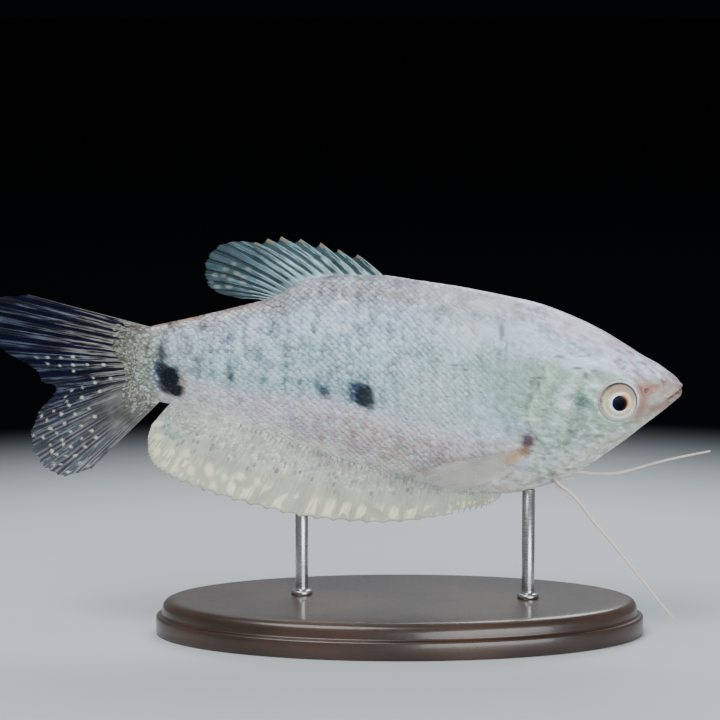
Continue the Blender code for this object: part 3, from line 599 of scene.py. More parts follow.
class Tree:
    """Adds nodes to a node tree and links them by value."""

    def __init__(self, tree):
        self.tree = tree

    def feed(self, socket, value):
        """Links a value to an input, or sets the input to a number or a colour."""
        if isinstance(value, Value):
            self.tree.links.new(value.socket, socket)
        else:
            is_colour = socket.type == "RGBA" and len(value) == 3
            socket.default_value = (*value, 1.0) if is_colour else value

    def fill(self, node, **values):
        """Feeds inputs of a node by name, or by number after an underscore."""
        for key, value in values.items():
            key = key.lstrip("_")
            self.feed(node.inputs[int(key) if key.isdigit() else key.replace("_", " ")], value)

    def node(self, kind, output=0, **values):
        """One output of a new node. A value with an underscore is fed to an input; others are settings."""
        made = self.tree.nodes.new(kind)
        for key, value in values.items():
            if not key.startswith("_"):
                setattr(made, key, value)
        self.fill(made, **{key: value for key, value in values.items() if key.startswith("_")})
        return Value(self, made.outputs[output]) if made.outputs else None

    def math(self, operation, *values):
        return self.node(
            "ShaderNodeMath", operation=operation, **{"_%d" % i: v for i, v in enumerate(values)}
        )

    def mix(self, factor, first, second, blend="MIX"):
        settings = {"data_type": "RGBA", "blend_type": blend, "clamp_factor": True}
        return self.node("ShaderNodeMix", 2, **settings, _0=factor, _6=first, _7=second)

    def between(self, value, low, high, start=0.0, end=1.0):
        """value from low..high brought smoothly to start..end."""
        return self.node(
            "ShaderNodeMapRange", interpolation_type="SMOOTHSTEP", _0=value, _1=low, _2=high, _3=start, _4=end
        )

    def fade(self, first, second, value, low, high, start=0.0, end=1.0):
        """The first colour, which turns into the second as value goes from low to high."""
        return self.mix(self.between(value, low, high, start, end), first, second)

    def noise(self, scale, detail=3.0, roughness=0.55, vector=None, **settings):
        return self.node(
            "ShaderNodeTexNoise", _Scale=scale, _Detail=detail, _Roughness=roughness, _Vector=vector,
            **settings,
        )

    def stretched(self, vector, **mapping):
        """A vector turned, moved or scaled by a Mapping node."""
        return self.node(
            "ShaderNodeMapping", _Vector=vector, **{"_" + key: value for key, value in mapping.items()}
        )

    def vector(self, x, y, z=0.0):
        return self.node("ShaderNodeCombineXYZ", _X=x, _Y=y, _Z=z)

    def shaded(self, paint, factor):
        """A colour times a value."""
        return self.mix(1.0, paint, self.vector(factor, factor, factor), "MULTIPLY")

    def bump(self, height, strength, distance):
        return self.node("ShaderNodeBump", _Height=height, _Strength=strength, _Distance=distance)

    def attributes(self, *names):
        return [self.node("ShaderNodeAttribute", "Fac", attribute_name=name) for name in names]

    def place(self):
        """Where a point is, in the frame's metres."""
        return self.node("ShaderNodeTexCoord", "Object")

    def group(self, name, **values):
        """The outputs of a shared node group by name."""
        made = self.tree.nodes.new("ShaderNodeGroup")
        made.node_tree = bpy.data.node_groups[name]
        self.fill(made, **values)
        return {socket.name: Value(self, socket) for socket in made.outputs}


def node_group(name, inputs, outputs):
    """A new node group: its tree, its inputs as values by name, and its output node.

    inputs are (name, default), with three numbers for a colour, and outputs are names; Color is a colour.
    """
    tree = bpy.data.node_groups.new(name, "ShaderNodeTree")
    for label, default in inputs:
        is_colour = isinstance(default, tuple)
        kind = "NodeSocketColor" if is_colour else "NodeSocketFloat"
        socket = tree.interface.new_socket(label, in_out="INPUT", socket_type=kind)
        socket.default_value = (*default, 1.0) if is_colour else default
    for label in outputs:
        kind = "NodeSocketColor" if label == "Color" else "NodeSocketFloat"
        tree.interface.new_socket(label, in_out="OUTPUT", socket_type=kind)
    entry, leave = tree.nodes.new("NodeGroupInput"), tree.nodes.new("NodeGroupOutput")
    made = Tree(tree)
    given = {socket.name: Value(made, socket) for socket in entry.outputs if socket.name}
    return made, given, leave


def spot_group():
    """A soft-edged oval mark at a place on the flank, with a ragged edge."""
    inputs = [("Behind", 0.0), ("Height", 0.0), ("Ragged", 0.0), ("At Behind", 0.0), ("At Height", 0.0)]
    inputs += [("Half Length", 1.0), ("Half Height", 1.0), ("Softness", 0.3)]
    tree, given, out = node_group("Flank Spot", inputs, ["Mask"])
    across = (given["Behind"] - given["At Behind"]) / given["Half Length"]
    up = (given["Height"] - given["At Height"]) / given["Half Height"]
    away = tree.math("SQRT", across * across + up * up) + given["Ragged"]
    tree.fill(out, Mask=tree.between(away, 1.0 - given["Softness"], 1.0 + given["Softness"], 1.0, 0.0))


# Marks on the skin: behind, height, half length, half height, softness, strength
BODY_SPOTS = (
    (54.0, 1.4, 1.8, 2.3, 0.36, 0.90), (55.3, 2.9, 0.9, 1.0, 0.5, 0.55), (55.9, 1.6, 0.9, 0.8, 0.7, 0.45),
    (53.3, -0.2, 0.9, 1.0, 0.6, 0.70), (56.9, 2.4, 0.9, 0.6, 0.7, 0.40), (61.0, 2.1, 0.95, 1.0, 0.6, 0.70),
    (62.2, 3.6, 0.5, 1.1, 0.8, 0.55), (87.5, 3.7, 2.0, 2.7, 0.36, 1.0), (88.5, 5.3, 1.3, 1.8, 0.5, 0.90),
    (86.4, 1.7, 1.4, 1.2, 0.5, 1.0), (88.9, 7.8, 0.8, 2.2, 0.8, 0.66), (83.6, 5.2, 0.8, 0.7, 0.9, 0.30),
    (77.3, 6.0, 0.5, 1.0, 0.8, 0.60), (76.8, 4.3, 0.55, 0.8, 0.8, 0.65), (78.0, 4.9, 0.5, 0.5, 0.9, 0.40),
    (70.8, 6.6, 0.5, 1.2, 0.9, 0.30), (48.9, 3.4, 0.5, 2.6, 0.95, 0.28), (48.5, -0.4, 0.5, 1.0, 0.9, 0.16),
)
# The other marks in the order of painting: their colour, how much the streaks fray them, and the marks
FLECKS = (
    ((124, 158, 138), 0, (
        (27.5, 4.9, 11.0, 4.8, 0.9, 0.7), (40.5, 4.5, 7.0, 7.0, 0.9, 0.3), (20.0, 1.0, 5.0, 3.6, 0.9, 0.3),
    )),
    ((140, 143, 150), 0, (
        (57.0, 18.8, 13.0, 2.4, 0.9, 0.5), (73.0, 15.6, 6.0, 1.8, 0.9, 0.4),
        (51.0, 16.6, 7.0, 1.2, 0.9, 0.25),
    )),
    # Blue-white: pale patches on the front of the flank and on the cheek, painted highlights high on the
    # upper flank, and a painted glint with a short cross stroke 58 mm behind the snout.
    ((236, 244, 246), 0, (
        (42.5, 0.4, 7.5, 5.0, 0.9, 0.34), (33.0, 16.8, 3.5, 1.3, 0.9, 0.6), (40.5, 18.5, 5.0, 1.5, 0.9, 0.35),
        (37.5, 12.6, 4.0, 2.4, 0.9, 0.4), (20.2, 0.9, 1.2, 1.8, 0.9, 0.65), (58.0, 17.2, 1.1, 0.35, 0.8, 0.9),
        (58.4, 18.2, 0.3, 0.9, 0.8, 0.5),
    )),
    # Near white: painted highlights along the top of the head.
    ((250, 248, 255), 0, (
        (14.0, 10.8, 2.4, 1.4, 0.9, 0.6), (17.4, 12.7, 2.4, 1.3, 0.9, 0.6), (20.8, 14.4, 2.6, 1.2, 0.9, 0.5),
    )),
    # Blue-white: a band from behind the eye up to the shoulder, painted highlight where the light from above
    # falls.
    ((214, 228, 246), 0, (
        (17.5, 7.6, 3.0, 0.9, 0.9, 0.65), (23.5, 10.0, 3.6, 1.2, 0.9, 0.55), (13.2, 6.4, 1.6, 0.7, 0.9, 0.45),
        (30.0, 13.0, 4.0, 1.6, 0.9, 0.5),
    )),
    ((84, 88, 102), 1, (
        (24.6, 4.9, 1.5, 0.3, 0.6, 0.85), (25.7, 4.0, 0.5, 0.8, 0.7, 0.65), (21.4, 8.4, 0.7, 0.3, 0.8, 0.75),
        (18.2, 6.4, 1.1, 0.24, 0.8, 0.85), (16.7, 5.2, 0.45, 0.5, 0.8, 0.85),
        (15.3, 5.9, 0.7, 0.2, 0.8, 0.65), (17.2, 8.4, 0.9, 0.22, 0.8, 0.65),
        (10.3, 6.2, 0.35, 0.26, 0.8, 0.65), (19.2, 10.5, 0.8, 0.25, 0.8, 0.4),
        (31.0, 12.6, 0.4, 1.6, 0.8, 0.65), (30.2, 9.6, 0.3, 1.4, 0.9, 0.4), (19.8, 3.9, 2.2, 0.25, 0.9, 0.35),
        (14.9, -5.3, 2.0, 0.25, 0.9, 0.35), (22.6, 2.0, 0.25, 3.0, 0.9, 0.25),
        (15.4, 5.2, 2.2, 0.7, 0.9, 0.35), (41.4, 7.7, 1.4, 0.2, 0.8, 0.55), (39.0, 7.0, 1.2, 0.2, 0.8, 0.6),
        (37.0, 6.2, 1.0, 0.2, 0.8, 0.5),
        # These last marks, just behind the gill cover's free edge, are painted shadow of that edge, darker
        # towards the top.
        *((b + 0.4, h, 0.38, 1.3, 0.9, 0.26 + 0.05 * h) for b, h in GILL_EDGE[5:]),
    )),
    ((78, 112, 98), 0, (
        (17.4, 0.8, 1.2, 1.4, 0.8, 1.0), (19.2, 1.6, 1.6, 0.5, 0.9, 0.6), (17.3, -1.8, 0.8, 1.4, 0.9, 0.5),
        (22.4, 3.0, 1.9, 0.9, 0.9, 0.3), (19.3, -4.4, 1.1, 1.6, 1.0, 0.5),
    )),
    ((176, 144, 134), 0, (
        (3.8, 1.7, 3.2, 1.6, 0.9, 0.8), (7.4, 0.3, 1.6, 3.2, 0.9, 1.0), (2.8, -0.5, 3.4, 1.5, 0.9, 0.7),
    )),
    ((146, 94, 86), 0, (
        (6.3, 2.5, 1.2, 1.2, 0.8, 0.95), (4.9, 3.0, 1.3, 0.5, 0.8, 0.9), (3.3, 3.6, 1.2, 0.45, 0.8, 0.7),
        (2.2, 0.2, 1.5, 0.5, 0.9, 0.45), (3.2, -0.8, 2.4, 0.8, 0.9, 0.5), (7.1, 4.7, 2.0, 1.1, 0.9, 0.26),
        (7.3, -0.6, 0.8, 1.8, 0.9, 0.35),
    )),
    ((112, 88, 84), 0, (
        (0.2, 2.2, 0.7, 0.7, 0.9, 0.6), (0.8, 1.5, 0.9, 0.22, 0.8, 0.7), (1.8, 0.9, 0.8, 0.2, 0.8, 0.6),
        (0.6, 0.2, 0.7, 0.5, 0.9, 0.5),
    )),
    ((214, 216, 208), 0, ((4.3, 0.9, 1.2, 0.8, 0.9, 0.4), (29.8, 10.6, 0.3, 3.4, 0.9, 0.28))),
    ((84, 60, 70), 0, ((26.5, -5.9, 1.3, 1.7, 0.6, 0.95),)),
    ((150, 106, 76), 1, ((27.3, -7.8, 1.25, 0.9, 0.7, 0.85), (21.6, -13.4, 1.0, 0.9, 0.8, 0.4))),
    ((216, 172, 108), 0, ((29.2, -9.0, 1.6, 1.1, 0.8, 0.8),)),
    ((200, 204, 240), 0, ((27.1, -10.4, 0.9, 1.1, 0.8, 0.7),)),
    ((230, 250, 224), 1, (
        (26.4, -2.1, 1.4, 0.35, 0.8, 0.8), *((b - 0.6, h, 0.5, 1.6, 0.9, 0.26) for b, h in GILL_EDGE[4:]),
    )),
    ((150, 134, 96), 0, ((85.2, 3.6, 0.6, 1.9, 0.9, 0.75),)),
    ((26, 68, 108), 0, (
        (89.3, 4.6, 1.3, 2.3, 0.8, 0.8), (88.6, 7.0, 0.9, 1.5, 0.9, 0.5), (55.2, 1.9, 2.0, 2.2, 0.5, 0.8),
        (61.4, 2.7, 1.4, 1.5, 0.9, 0.55),
    )),
)


def markings_group():
    """The colours of the whole fish by place, which skin and scales share; some of the marks are painted
    highlights and painted shade.
    """
    shade = colours()
    names = ("back", "silver", "flank", "lower_flank", "belly", "cheek", "forehead", "snout", "blotch")
    inputs = [("Behind", 0.0), ("Height", 0.0), ("Girth", 0.0), ("Fleck", 0.5)]
    inputs += [(name.replace("_", " ").title(), tuple(getattr(shade, name))) for name in names]
    tree, given, out = node_group("Gourami Markings", inputs, ["Color", "Dark", "Wet", "Streak"])
    where = tree.place()
    behind, around = given["Behind"], given["Girth"]
    drift = tree.noise(160.0, 3.0, vector=where) - 0.5
    grain = tree.noise(900.0, 2.0, vector=where) - 0.5
    mottle = tree.noise(420.0, 4.0, vector=where) - 0.5
    hue = tree.noise(260.0, 4.0, vector=tree.stretched(where, Location=(0.3, 0.1, 0.2)))
    along = tree.stretched(tree.stretched(where, Rotation=(0.0, -0.42, 0.0)), Scale=(0.3, 1.0, 1.0))
    streak = tree.noise(1300.0, 4.0, vector=along) - 0.5
    girth = around + drift * 0.14

    body = given["Back"]
    bands = ((0.07, 0.17, "Silver"), (0.24, 0.42, "Flank"), (0.6, 0.74, "Lower Flank"), (0.84, 0.97, "Belly"))
    for low, high, name in bands:
        body = tree.fade(body, given[name], girth, low, high)
    warm = tree.between(girth, 0.7, 0.8) * tree.between(girth, 0.99, 0.91)
    warm = warm * (tree.between(behind, 30.0, 42.0) * tree.between(behind, 70.0, 58.0))
    body = tree.mix(warm * 0.75, body, tone(200, 182, 176))
    # A pale band along the belly's lowest edge, from about 32 mm behind the snout back: painted light that
    # lifts the shade where the belly meets the anal fin.
    under = tree.between(girth, 0.92, 0.985) * tree.between(behind, 32.0, 42.0)
    body = tree.mix(under, body, tone(240, 242, 228))
    body = tree.fade(body, tone(174, 198, 178), hue, 0.5, 0.72, 0.0, 0.4)
    body = tree.fade(body, tone(178, 176, 206), hue, 0.5, 0.3, 0.0, 0.35)
    pale = tree.fade(given["Forehead"], tone(192, 214, 244), behind, 9.0, 16.0, 0.2, 1.0)
    head = tree.fade(given["Forehead"], pale, girth, 0.05, 0.12)
    head = tree.fade(head, given["Cheek"], girth, 0.24, 0.36)
    throat = tree.fade(tone(204, 206, 192), tone(214, 217, 205), behind, 14.0, 20.0)
    head = tree.fade(head, throat, girth, 0.7, 0.92)
    rose = tree.between(hue, 0.42, 0.62) * tree.between(girth, 0.16, 0.06, 0.0, 0.8)
    head = tree.mix(rose, head, tone(208, 180, 196))
    head = tree.fade(head, tone(186, 206, 196), hue, 0.5, 0.32, 0.0, 0.45)
    dapple = tree.noise(1000.0, 4.0, vector=along)
    head = tree.fade(head, tone(216, 230, 240), dapple, 0.5, 0.64, 0.0, 0.6)
    olive = tree.between(dapple, 0.5, 0.34, 0.0, 0.6) * tree.between(girth, 0.15, 0.35)
    head = tree.mix(olive, head, tone(142, 162, 132))
    ragged_behind = behind + drift * 9.0
    paint = tree.fade(head, body, ragged_behind, 22.0, 34.0)
    stem = behind + drift * 5.0
    paint = tree.fade(paint, tone(160, 162, 164), stem, 76.0, 90.0, 0.0, 0.55)
    paint = tree.fade(paint, tone(134, 138, 116), stem, 87.0, 91.5, 0.0, 0.85)
    ridge = tree.between(around, 0.05, 0.0, 0.0, 0.8) * tree.between(behind, 66.0, 74.0)
    paint = tree.mix(ridge, paint, tone(156, 118, 88))
    paint = tree.fade(paint, given["Snout"], ragged_behind, 6.0, 1.5, 0.0, 0.6)

    def marks(paint, table, value, ragged):
        masks = None
        for b, h, long, high, soft, strength in table:
            mask = tree.group(
                "Flank Spot", Behind=behind, Height=given["Height"], Ragged=ragged, At_Behind=b,
                At_Height=h, Half_Length=long, Half_Height=high, Softness=soft,
            )["Mask"] * strength
            masks = mask if masks is None else maximum(masks, mask)
        return tree.mix(masks, paint, value), masks

    ragged = drift * 0.9 + streak * 0.9
    tint = given["Fleck"] * 0.34 + 0.82
    on_head = tree.between(behind, 38.0, 20.0, 0.25, 1.0)
    # Vertical streaks of lighter and darker tone on the flank behind the head: painted highlight and shade of
    # the columns of scales.
    upright = tree.stretched(where, Scale=(1.0, 1.0, 0.25))
    column_light_and_shade = tree.noise(620.0, 3.0, vector=upright) - 0.5
    fine = grain * 0.7 + mottle * 0.8
    fine = fine * tree.between(behind, 50.0, 85.0, 1.0, 1.4)
    fine = fine + column_light_and_shade * tree.between(behind, 26.0, 36.0, 0.0, 2.1)
    nape = tree.between(around, 0.32, 0.22, 1.45, 2.6)
    fine = fine + streak * on_head * nape
    smooth = tree.between(girth, 0.56, 0.68) * tree.between(behind, 30.0, 40.0)
    tint = tint + fine * tree.between(smooth, 0.0, 1.0, 1.0, 0.45)
    tint = tint * tree.between(behind, 25.0, 85.0, 1.03, 1.0)
    paint = tree.shaded(paint, tint)
    glint = tree.between(given["Fleck"], 0.6, 1.0, 0.0, 0.6) * tree.between(on_head, 0.9, 0.5, 0.7, 1.0)
    paint = tree.mix(glint, paint, tone(208, 224, 238))
    worn = ragged + streak * 1.2
    for value, frayed, table in FLECKS:
        paint, mask = marks(paint, table, tone(*value), worn if frayed else ragged)
    paint, dark = marks(paint, BODY_SPOTS, given["Blotch"], ragged)
    tree.fill(out, Color=paint, Dark=dark, Wet=0.3 + drift * 0.25, Streak=streak * on_head)


def micro_group():
    """Fine uneven relief of wet skin, as a height."""
    tree, given, out = node_group("Micro Relief", [("Size", 1.0), ("Amount", 1.0)], ["Height"])
    where = tree.place()
    fine = tree.noise(2600.0 / given["Size"], 4.0, 0.5, where)
    cells = tree.node("ShaderNodeTexVoronoi", "Distance", _Vector=where, _Scale=1900.0 / given["Size"])
    tree.fill(out, Height=(fine + cells * 0.4) * given["Amount"])


def new_material(name):
    """A material with its own Principled BSDF; returns it, its tree and the shader."""
    material = bpy.data.materials.new(name)
    material.use_nodes = True
    tree = Tree(material.node_tree)
    return material, tree, material.node_tree.nodes["Principled BSDF"]


def build_groups():
    """The shared node groups, each built once."""
    builders = {"Flank Spot": spot_group, "Gourami Markings": markings_group, "Micro Relief": micro_group}
    for name, build in builders.items():
        if name not in bpy.data.node_groups:
            build()


def skin_material(name, scaled, wash=None):
    """Wet, silvery skin with the fish's markings; scale plates get painted shade at their edges and a painted
    highlight in their middle, and turn to the wash far out on a fin.
    """
    material, tree, shader = new_material(name)
    behind, height, girth, fleck = tree.attributes("behind", "height", "girth", "fleck")
    marks = tree.group("Gourami Markings", Behind=behind, Height=height, Girth=girth, Fleck=fleck)
    paint = marks["Color"]
    clear = tree.between(marks["Dark"], 0.0, 0.6, 1.0, 0.0)
    if wash:
        share = tree.between(fleck, 0.0, 0.9)
        speckled = tree.mix(share, lit(wash, 0.55), lit(wash, 1.7))
        paint = tree.mix(tree.attributes("far")[0], paint, speckled)
    if scaled:
        # Scale plates: painted shade along the edges, where the plates overlap, and a painted highlight in
        # the middle of the free part; glow is 1 there and 0 at the edges.
        glow = tree.attributes("glow")[0]
        patchy = tree.between(tree.noise(220.0, 3.0, vector=tree.place()), 0.35, 0.65, 0.03, 0.24)
        edge = tree.between(glow, 0.5, 0.0) * patchy * clear
        edge = edge * tree.between(girth, 0.93, 0.76)
        edge = edge * tree.between(behind, 62.0, 86.0, 1.0, 0.3)
        paint = tree.mix(edge, paint, tone(104, 126, 136))
        # Painted highlight in the middle of each plate, stronger on plates with a high fleck.
        painted_highlight = clear * tree.between(glow, 0.55, 1.0, 0.0, 0.35 if wash else 0.95)
        painted_highlight = painted_highlight * (fleck * tree.between(girth, 0.05, 0.22, 0.3, 1.0))
        paint = tree.mix(painted_highlight, paint, tone(218, 236, 244))
    relief_height = tree.group("Micro Relief", Size=1.0, Amount=1.0)["Height"] + marks["Streak"] * 1.6
    tree.fill(
        shader, Base_Color=paint, Roughness=marks["Wet"] + 0.08, Metallic=clear * 0.14,
        Coat_Weight=clear * 0.2, Specular_IOR_Level=0.35, Coat_Roughness=0.28,
        Normal=tree.bump(relief_height, 0.4, 0.00018),
    )
    return material


# Skin


def skin_rings():
    """Where the skin's rings stand: close on the head, wider along the flank."""
    starts, steps = (0.06, 3.2, 9.0, 28.5, 86.0, 93.7), (0.085, 0.15, 0.18, 0.5, 0.25)
    return np.concatenate([np.arange(*stretch) for stretch in zip(starts, starts[1:], steps)])


def make_skin():
    """One skin over head, trunk, tail stem and gill covers."""
    around = sizes().rings_round
    behind = skin_rings()
    turn = circle(around)
    b, t = np.meshgrid(behind, turn, indexing="ij")
    side = np.where(t <= math.pi, 1.0, -1.0)
    angle = np.where(t <= math.pi, t, 2 * math.pi - t)
    points, height = body_surface(b, angle, side)
    wrapped = np.concatenate([points[:, -1:], points, points[:, :1]], axis=1)
    normals = face_normals(wrapped)[:, 1:-1]
    middle = points.mean(axis=1, keepdims=True)
    normals *= np.sign(np.sum(normals * (points - middle), axis=-1, keepdims=True) + 1e-15)
    points = points + normals * relief(b, height)[:, :, None] * MM
    count = len(behind) * around
    ends = np.stack([points[0].mean(axis=0), points[-1].mean(axis=0)])
    faces = grid_faces(len(behind), around, closed=True)
    faces += fan(0, around, count) + fan(count - around, around, count + 1)
    flat = lambda values, first, last: np.append(values.ravel(), [first, last])
    attributes = (
        ("behind", flat(b, behind[0], behind[-1])),
        ("height", flat(height, 2.2, 5.9)),
        ("girth", flat(girth_share(b, height), 0.5, 0.5)),
        ("fleck", np.full(count + 2, 0.5)),
    )
    u = 0.02 + 0.96 * b / STANDARD_LENGTH / 1.05
    uv = np.stack([flat(u, 0.02, 0.98), flat(0.01 + 0.98 * t / (2 * math.pi), 0.5, 0.5)], axis=-1)
    points = np.concatenate([points.reshape(-1, 3), ends])
    nodes = ("head", "trunk", "tail_stem", "gill_cover_right", "gill_cover_left")
    solid_piece("skin", points, faces, skin_material("Gourami Skin", False), nodes, attributes, uv)


# Scales

# A scale from its hidden front (0) to its rounded free edge (1): place along it, half width, lift
SCALE_STATIONS = ((0.0, 0.55, -1.1), (0.38, 1.0, -0.45), (0.66, 0.94, 0.30), (0.88, 0.62, 0.55))
SCALE_COLUMNS = (-1.0, -0.5, 0.0, 0.5, 1.0)
# The point of a scale that its place in the rows is for
SCALE_ROOT = 0.45
# Length of a scale's patch in the bake
BAKE_PATCH = 0.003


def scale_pattern():
    """One scale, domed over a flat underside: its (along, across, lift, glow) points, faces and upper rim."""
    top = []
    for x, w, z in SCALE_STATIONS:
        for c in SCALE_COLUMNS:
            # middle becomes glow: 1 in the middle of the free part, where the material paints a highlight,
            # and 0 at the edges, where it paints shade.
            middle = max(1 - ((x - 0.74) / 0.30) ** 2, 0) * (1 - 0.75 * abs(c) ** 2)
            top.append((x, w * c, z + 0.62 * (1 - c * c), middle))
    top.append((1.0, 0.0, 0.55, 0.1))
    under = [(x, y, z - 0.9, 0.0) for x, y, z, _ in top]
    rows, columns, count = len(SCALE_STATIONS), len(SCALE_COLUMNS), len(top)
    faces = grid_faces(rows, columns)
    last = (rows - 1) * columns
    caps = [[last + i, last + i + 1, count - 1] for i in range(columns - 1)]
    top_faces = [list(reversed(f)) for f in faces] + [list(reversed(f)) for f in caps]
    under_faces = [[i + count for i in f] for f in faces + caps]
    rim = [i for i in range(columns)]
    rim += [row * columns + columns - 1 for row in range(1, rows)] + [count - 1]
    rim += [row * columns for row in range(rows - 1, 0, -1)]
    return np.array(top + under), top_faces + under_faces + wall(rim, count), rim


def plate_piece(name, points, attributes, u, v, material, chosen):
    """Scales as one mesh: a row of points and of each attribute for each scale.

    u and v are the root's place in the bake. The chosen plates' upper rims are marked as sharp, so that each
    is shaded flat up to its edge.
    """
    pattern, faces, rim = scale_pattern()
    count = len(pattern)
    stacked = [[i + start for i in face] for start in range(0, len(points) * count, count) for face in faces]
    u = u + (pattern[:, 0] - 0.5) * BAKE_PATCH
    v = v + pattern[:, 1] * BAKE_PATCH / 2
    uv = np.stack([u.ravel(), v.ravel()], axis=-1)
    piece = solid_piece(name, points.reshape(-1, 3), stacked, material, (), attributes, uv)
    edges = np.zeros(len(piece.data.edges) * 2, int)
    piece.data.edges.foreach_get("vertices", edges)
    edges = edges.reshape(-1, 2)
    on_rim = np.isin(edges % count, rim).all(axis=1) & chosen[edges[:, 0] // count]
    layer = piece.data.attributes.new("sharp_edge", "BOOLEAN", "EDGE")
    layer.data.foreach_set("value", on_rim)


def tail_taper(behind):
    """Rows draw together towards the tail, as the scales there are smaller."""
    return 1.0 - 0.22 * step_up(np.asarray(behind, float), 55.0, 92.0)


def scale_lattice(flank_side, pitch, row_pitch, start, end, reach):
    """Places in rows along the flank, every other row moved by half a scale, as behind, arc and height."""
    behind, arc = [], []
    for row in range(-reach, reach + 1):
        line = np.arange(start + (row % 2) * pitch / 2, end, pitch)
        behind.append(line)
        arc.append(row * row_pitch * tail_taper(line))
    behind, arc = np.concatenate(behind), np.concatenate(arc)
    low, high = flank_side.limits(behind)
    inside = (arc - low > 0.45) & (high - arc > 0.35)
    behind, arc = behind[inside], arc[inside]
    return behind, arc, flank_side.at(behind, arc)[2]


def body_scale_roots(flank_side):
    """Rows of (behind, arc, height, length, half width, lift) for trunk and tail stem."""
    pitch, row_pitch = sizes().scale_length / MM, sizes().scale_row / MM
    behind, arc, height = scale_lattice(flank_side, pitch, row_pitch, 20.0, 93.2, 40)
    over = height - NAPE_LEVEL
    covered = np.where(over > 0, NAPE_END + NAPE_SLOPE * over, GILL_CURVE(height) + 0.5)
    free = behind >= covered
    behind, arc, height = behind[free], arc[free], height[free]
    low = 1 - 0.55 * step_up(girth_share(behind, height), 0.78, 0.95)
    rise = 0.55 + 0.45 * step_up(behind, 26.0, 40.0) - 0.35 * step_up(behind, 62.0, 88.0)
    lift = sizes().scale_lift / MM * low * rise
    taper = tail_taper(behind)
    lengths, widths = pitch * 1.75 * (0.6 + 0.4 * taper), row_pitch * 1.08 * taper
    return np.stack([behind, arc, height, lengths, widths, lift], axis=-1)


def head_scale_roots(flank_side):
    """Smaller, flatter scales on the nape, the cheek and the gill cover."""
    pitch, row_pitch = 1.02, 0.50
    behind, arc, height = scale_lattice(flank_side, pitch, row_pitch, 8.0, 27.5, 50)
    away = np.hypot(behind - EYE[0], height - EYE[1])
    belly = section(behind)[1]
    over = height - NAPE_LEVEL
    cover = (over <= 0) & (behind < GILL_CURVE(height) - 0.55) & (behind > 12.4) & (height - belly > 2.4)
    nape = (over > 0) & (behind < NAPE_END + NAPE_SLOPE * over + 0.4) & (behind > 13.0 - 0.25 * over)
    kept = (cover | nape) & (away > 4.6)
    behind, arc, height = behind[kept], arc[kept], height[kept]
    ones = np.ones(len(behind))
    lift = sizes().scale_lift / MM * (0.25 + 0.35 * step_up(behind, 13.0, 25.0))
    return np.stack([behind, arc, height, pitch * 1.7 * ones, row_pitch * 1.08 * ones, lift], axis=-1)


def make_scales(side, name, start, end):
    """Scales of one flank between two places behind the snout, as one mesh of thin overlapping plates."""
    rng = random_numbers(side > 0)
    flank_side = Flank(side)
    along, across, rise, glow = scale_pattern()[0].T
    table = np.concatenate([body_scale_roots(flank_side), head_scale_roots(flank_side)])
    loose = 1 + 0.9 * step_up(table[:, 0], 55.0, 85.0)
    table[:, 0] += rng.normal(0, 0.09, len(table)) * loose
    table[:, 1] += rng.normal(0, 0.045, len(table)) * loose
    fleck = np.clip(rng.normal(0.48, 0.27, len(table)), 0, 1)
    turn, roll, height_share = rng.normal(0, (0.11, 0.26, 0.20), (len(table), 3)).T[:, :, None]
    kept = (table[:, 0] >= start) & (table[:, 0] < end)
    table, fleck, turn, roll, height_share = (
        values[kept] for values in (table, fleck, turn, roll, height_share)
    )
    root_behind, root_arc, _, length, width, lift = table.T[:, :, None]
    # Towards the head glow is drawn to the middle, which weakens the painted edge shade and highlight on the
    # plates there.
    faint = 1 - step_up(root_behind, 22.0, 44.0)
    x, y = (along - SCALE_ROOT) * length, across * width
    behind = root_behind + x * np.cos(turn) - y * np.sin(turn)
    arc = root_arc + x * np.sin(turn) + y * np.cos(turn)
    points, normals, heights = flank_side.at(behind, arc)
    raised = (rise * (1 + height_share) + roll * across) * lift
    points = points + normals * raised[:, :, None] * MM
    attributes = (
        ("behind", behind), ("height", heights), ("girth", girth_share(behind, heights)),
        ("fleck", np.repeat(fleck, len(along))), ("glow", glow * (1 - 0.7 * faint) + 0.7 * faint * 0.5),
    )
    u = 0.02 + 0.96 * root_behind / 95
    v = 0.25 + 0.5 * (side > 0) + 0.23 * root_arc / 24
    chosen = root_behind[:, 0] < rng.uniform(28.0, 46.0, len(table))
    plate_piece(name, points, attributes, u, v, scale_material("Gourami Scales"), chosen)
    return len(table)


def scale_material(name, wash=None):
    return bpy.data.materials.get(name) or skin_material(name, True, wash)


# Eyes


def eye_centre(side):
    behind, height = EYE
    return place(behind, side * (flank(behind, height) + EYE_PROUD - EYE_HALF_DEPTH), height)


def make_eye(side, name, node):
    """An eyeball, turned with the head; its material draws pupil, ring and iris by distance from its axis."""
    rings, around = 48, 128
    share = np.linspace(0.0, math.pi, rings)
    theta = circle(around)
    s, t = np.meshgrid(share[1:-1], theta, indexing="ij")
    radius, depth = EYE_RADIUS + 0.3, EYE_HALF_DEPTH - 0.1
    from_axis = radius * np.sin(s)
    local = np.stack([from_axis * np.cos(t), side * depth * np.cos(s), from_axis * np.sin(t)], -1)
    poles = np.array([[0, side * depth, 0], [0, -side * depth, 0]])
    points = np.concatenate([local.reshape(-1, 3), poles])
    away = np.hypot(points[:, 0], points[:, 2])
    low = 0.25 * (1 - step_up(away, 1.6, 3.0))
    away = np.hypot(points[:, 0], points[:, 2] + low)
    angle = np.arctan2(points[:, 2], points[:, 0])
    turned = points @ np.array(Matrix.Rotation(-side * EYE_TURN, 3, "Z")).T
    turned[:, 1] += side * 0.1
    faces = grid_faces(rings - 2, around, closed=True)
    count, last = (rings - 2) * around, (rings - 3) * around
    faces += fan(0, around, count) + fan(last, around, count + 1)
    points = turned * MM + eye_centre(side)
    solid_piece(
        name, points, faces, eye_material(), (node,), (("from_axis", away), ("round_axis", angle)),
    )


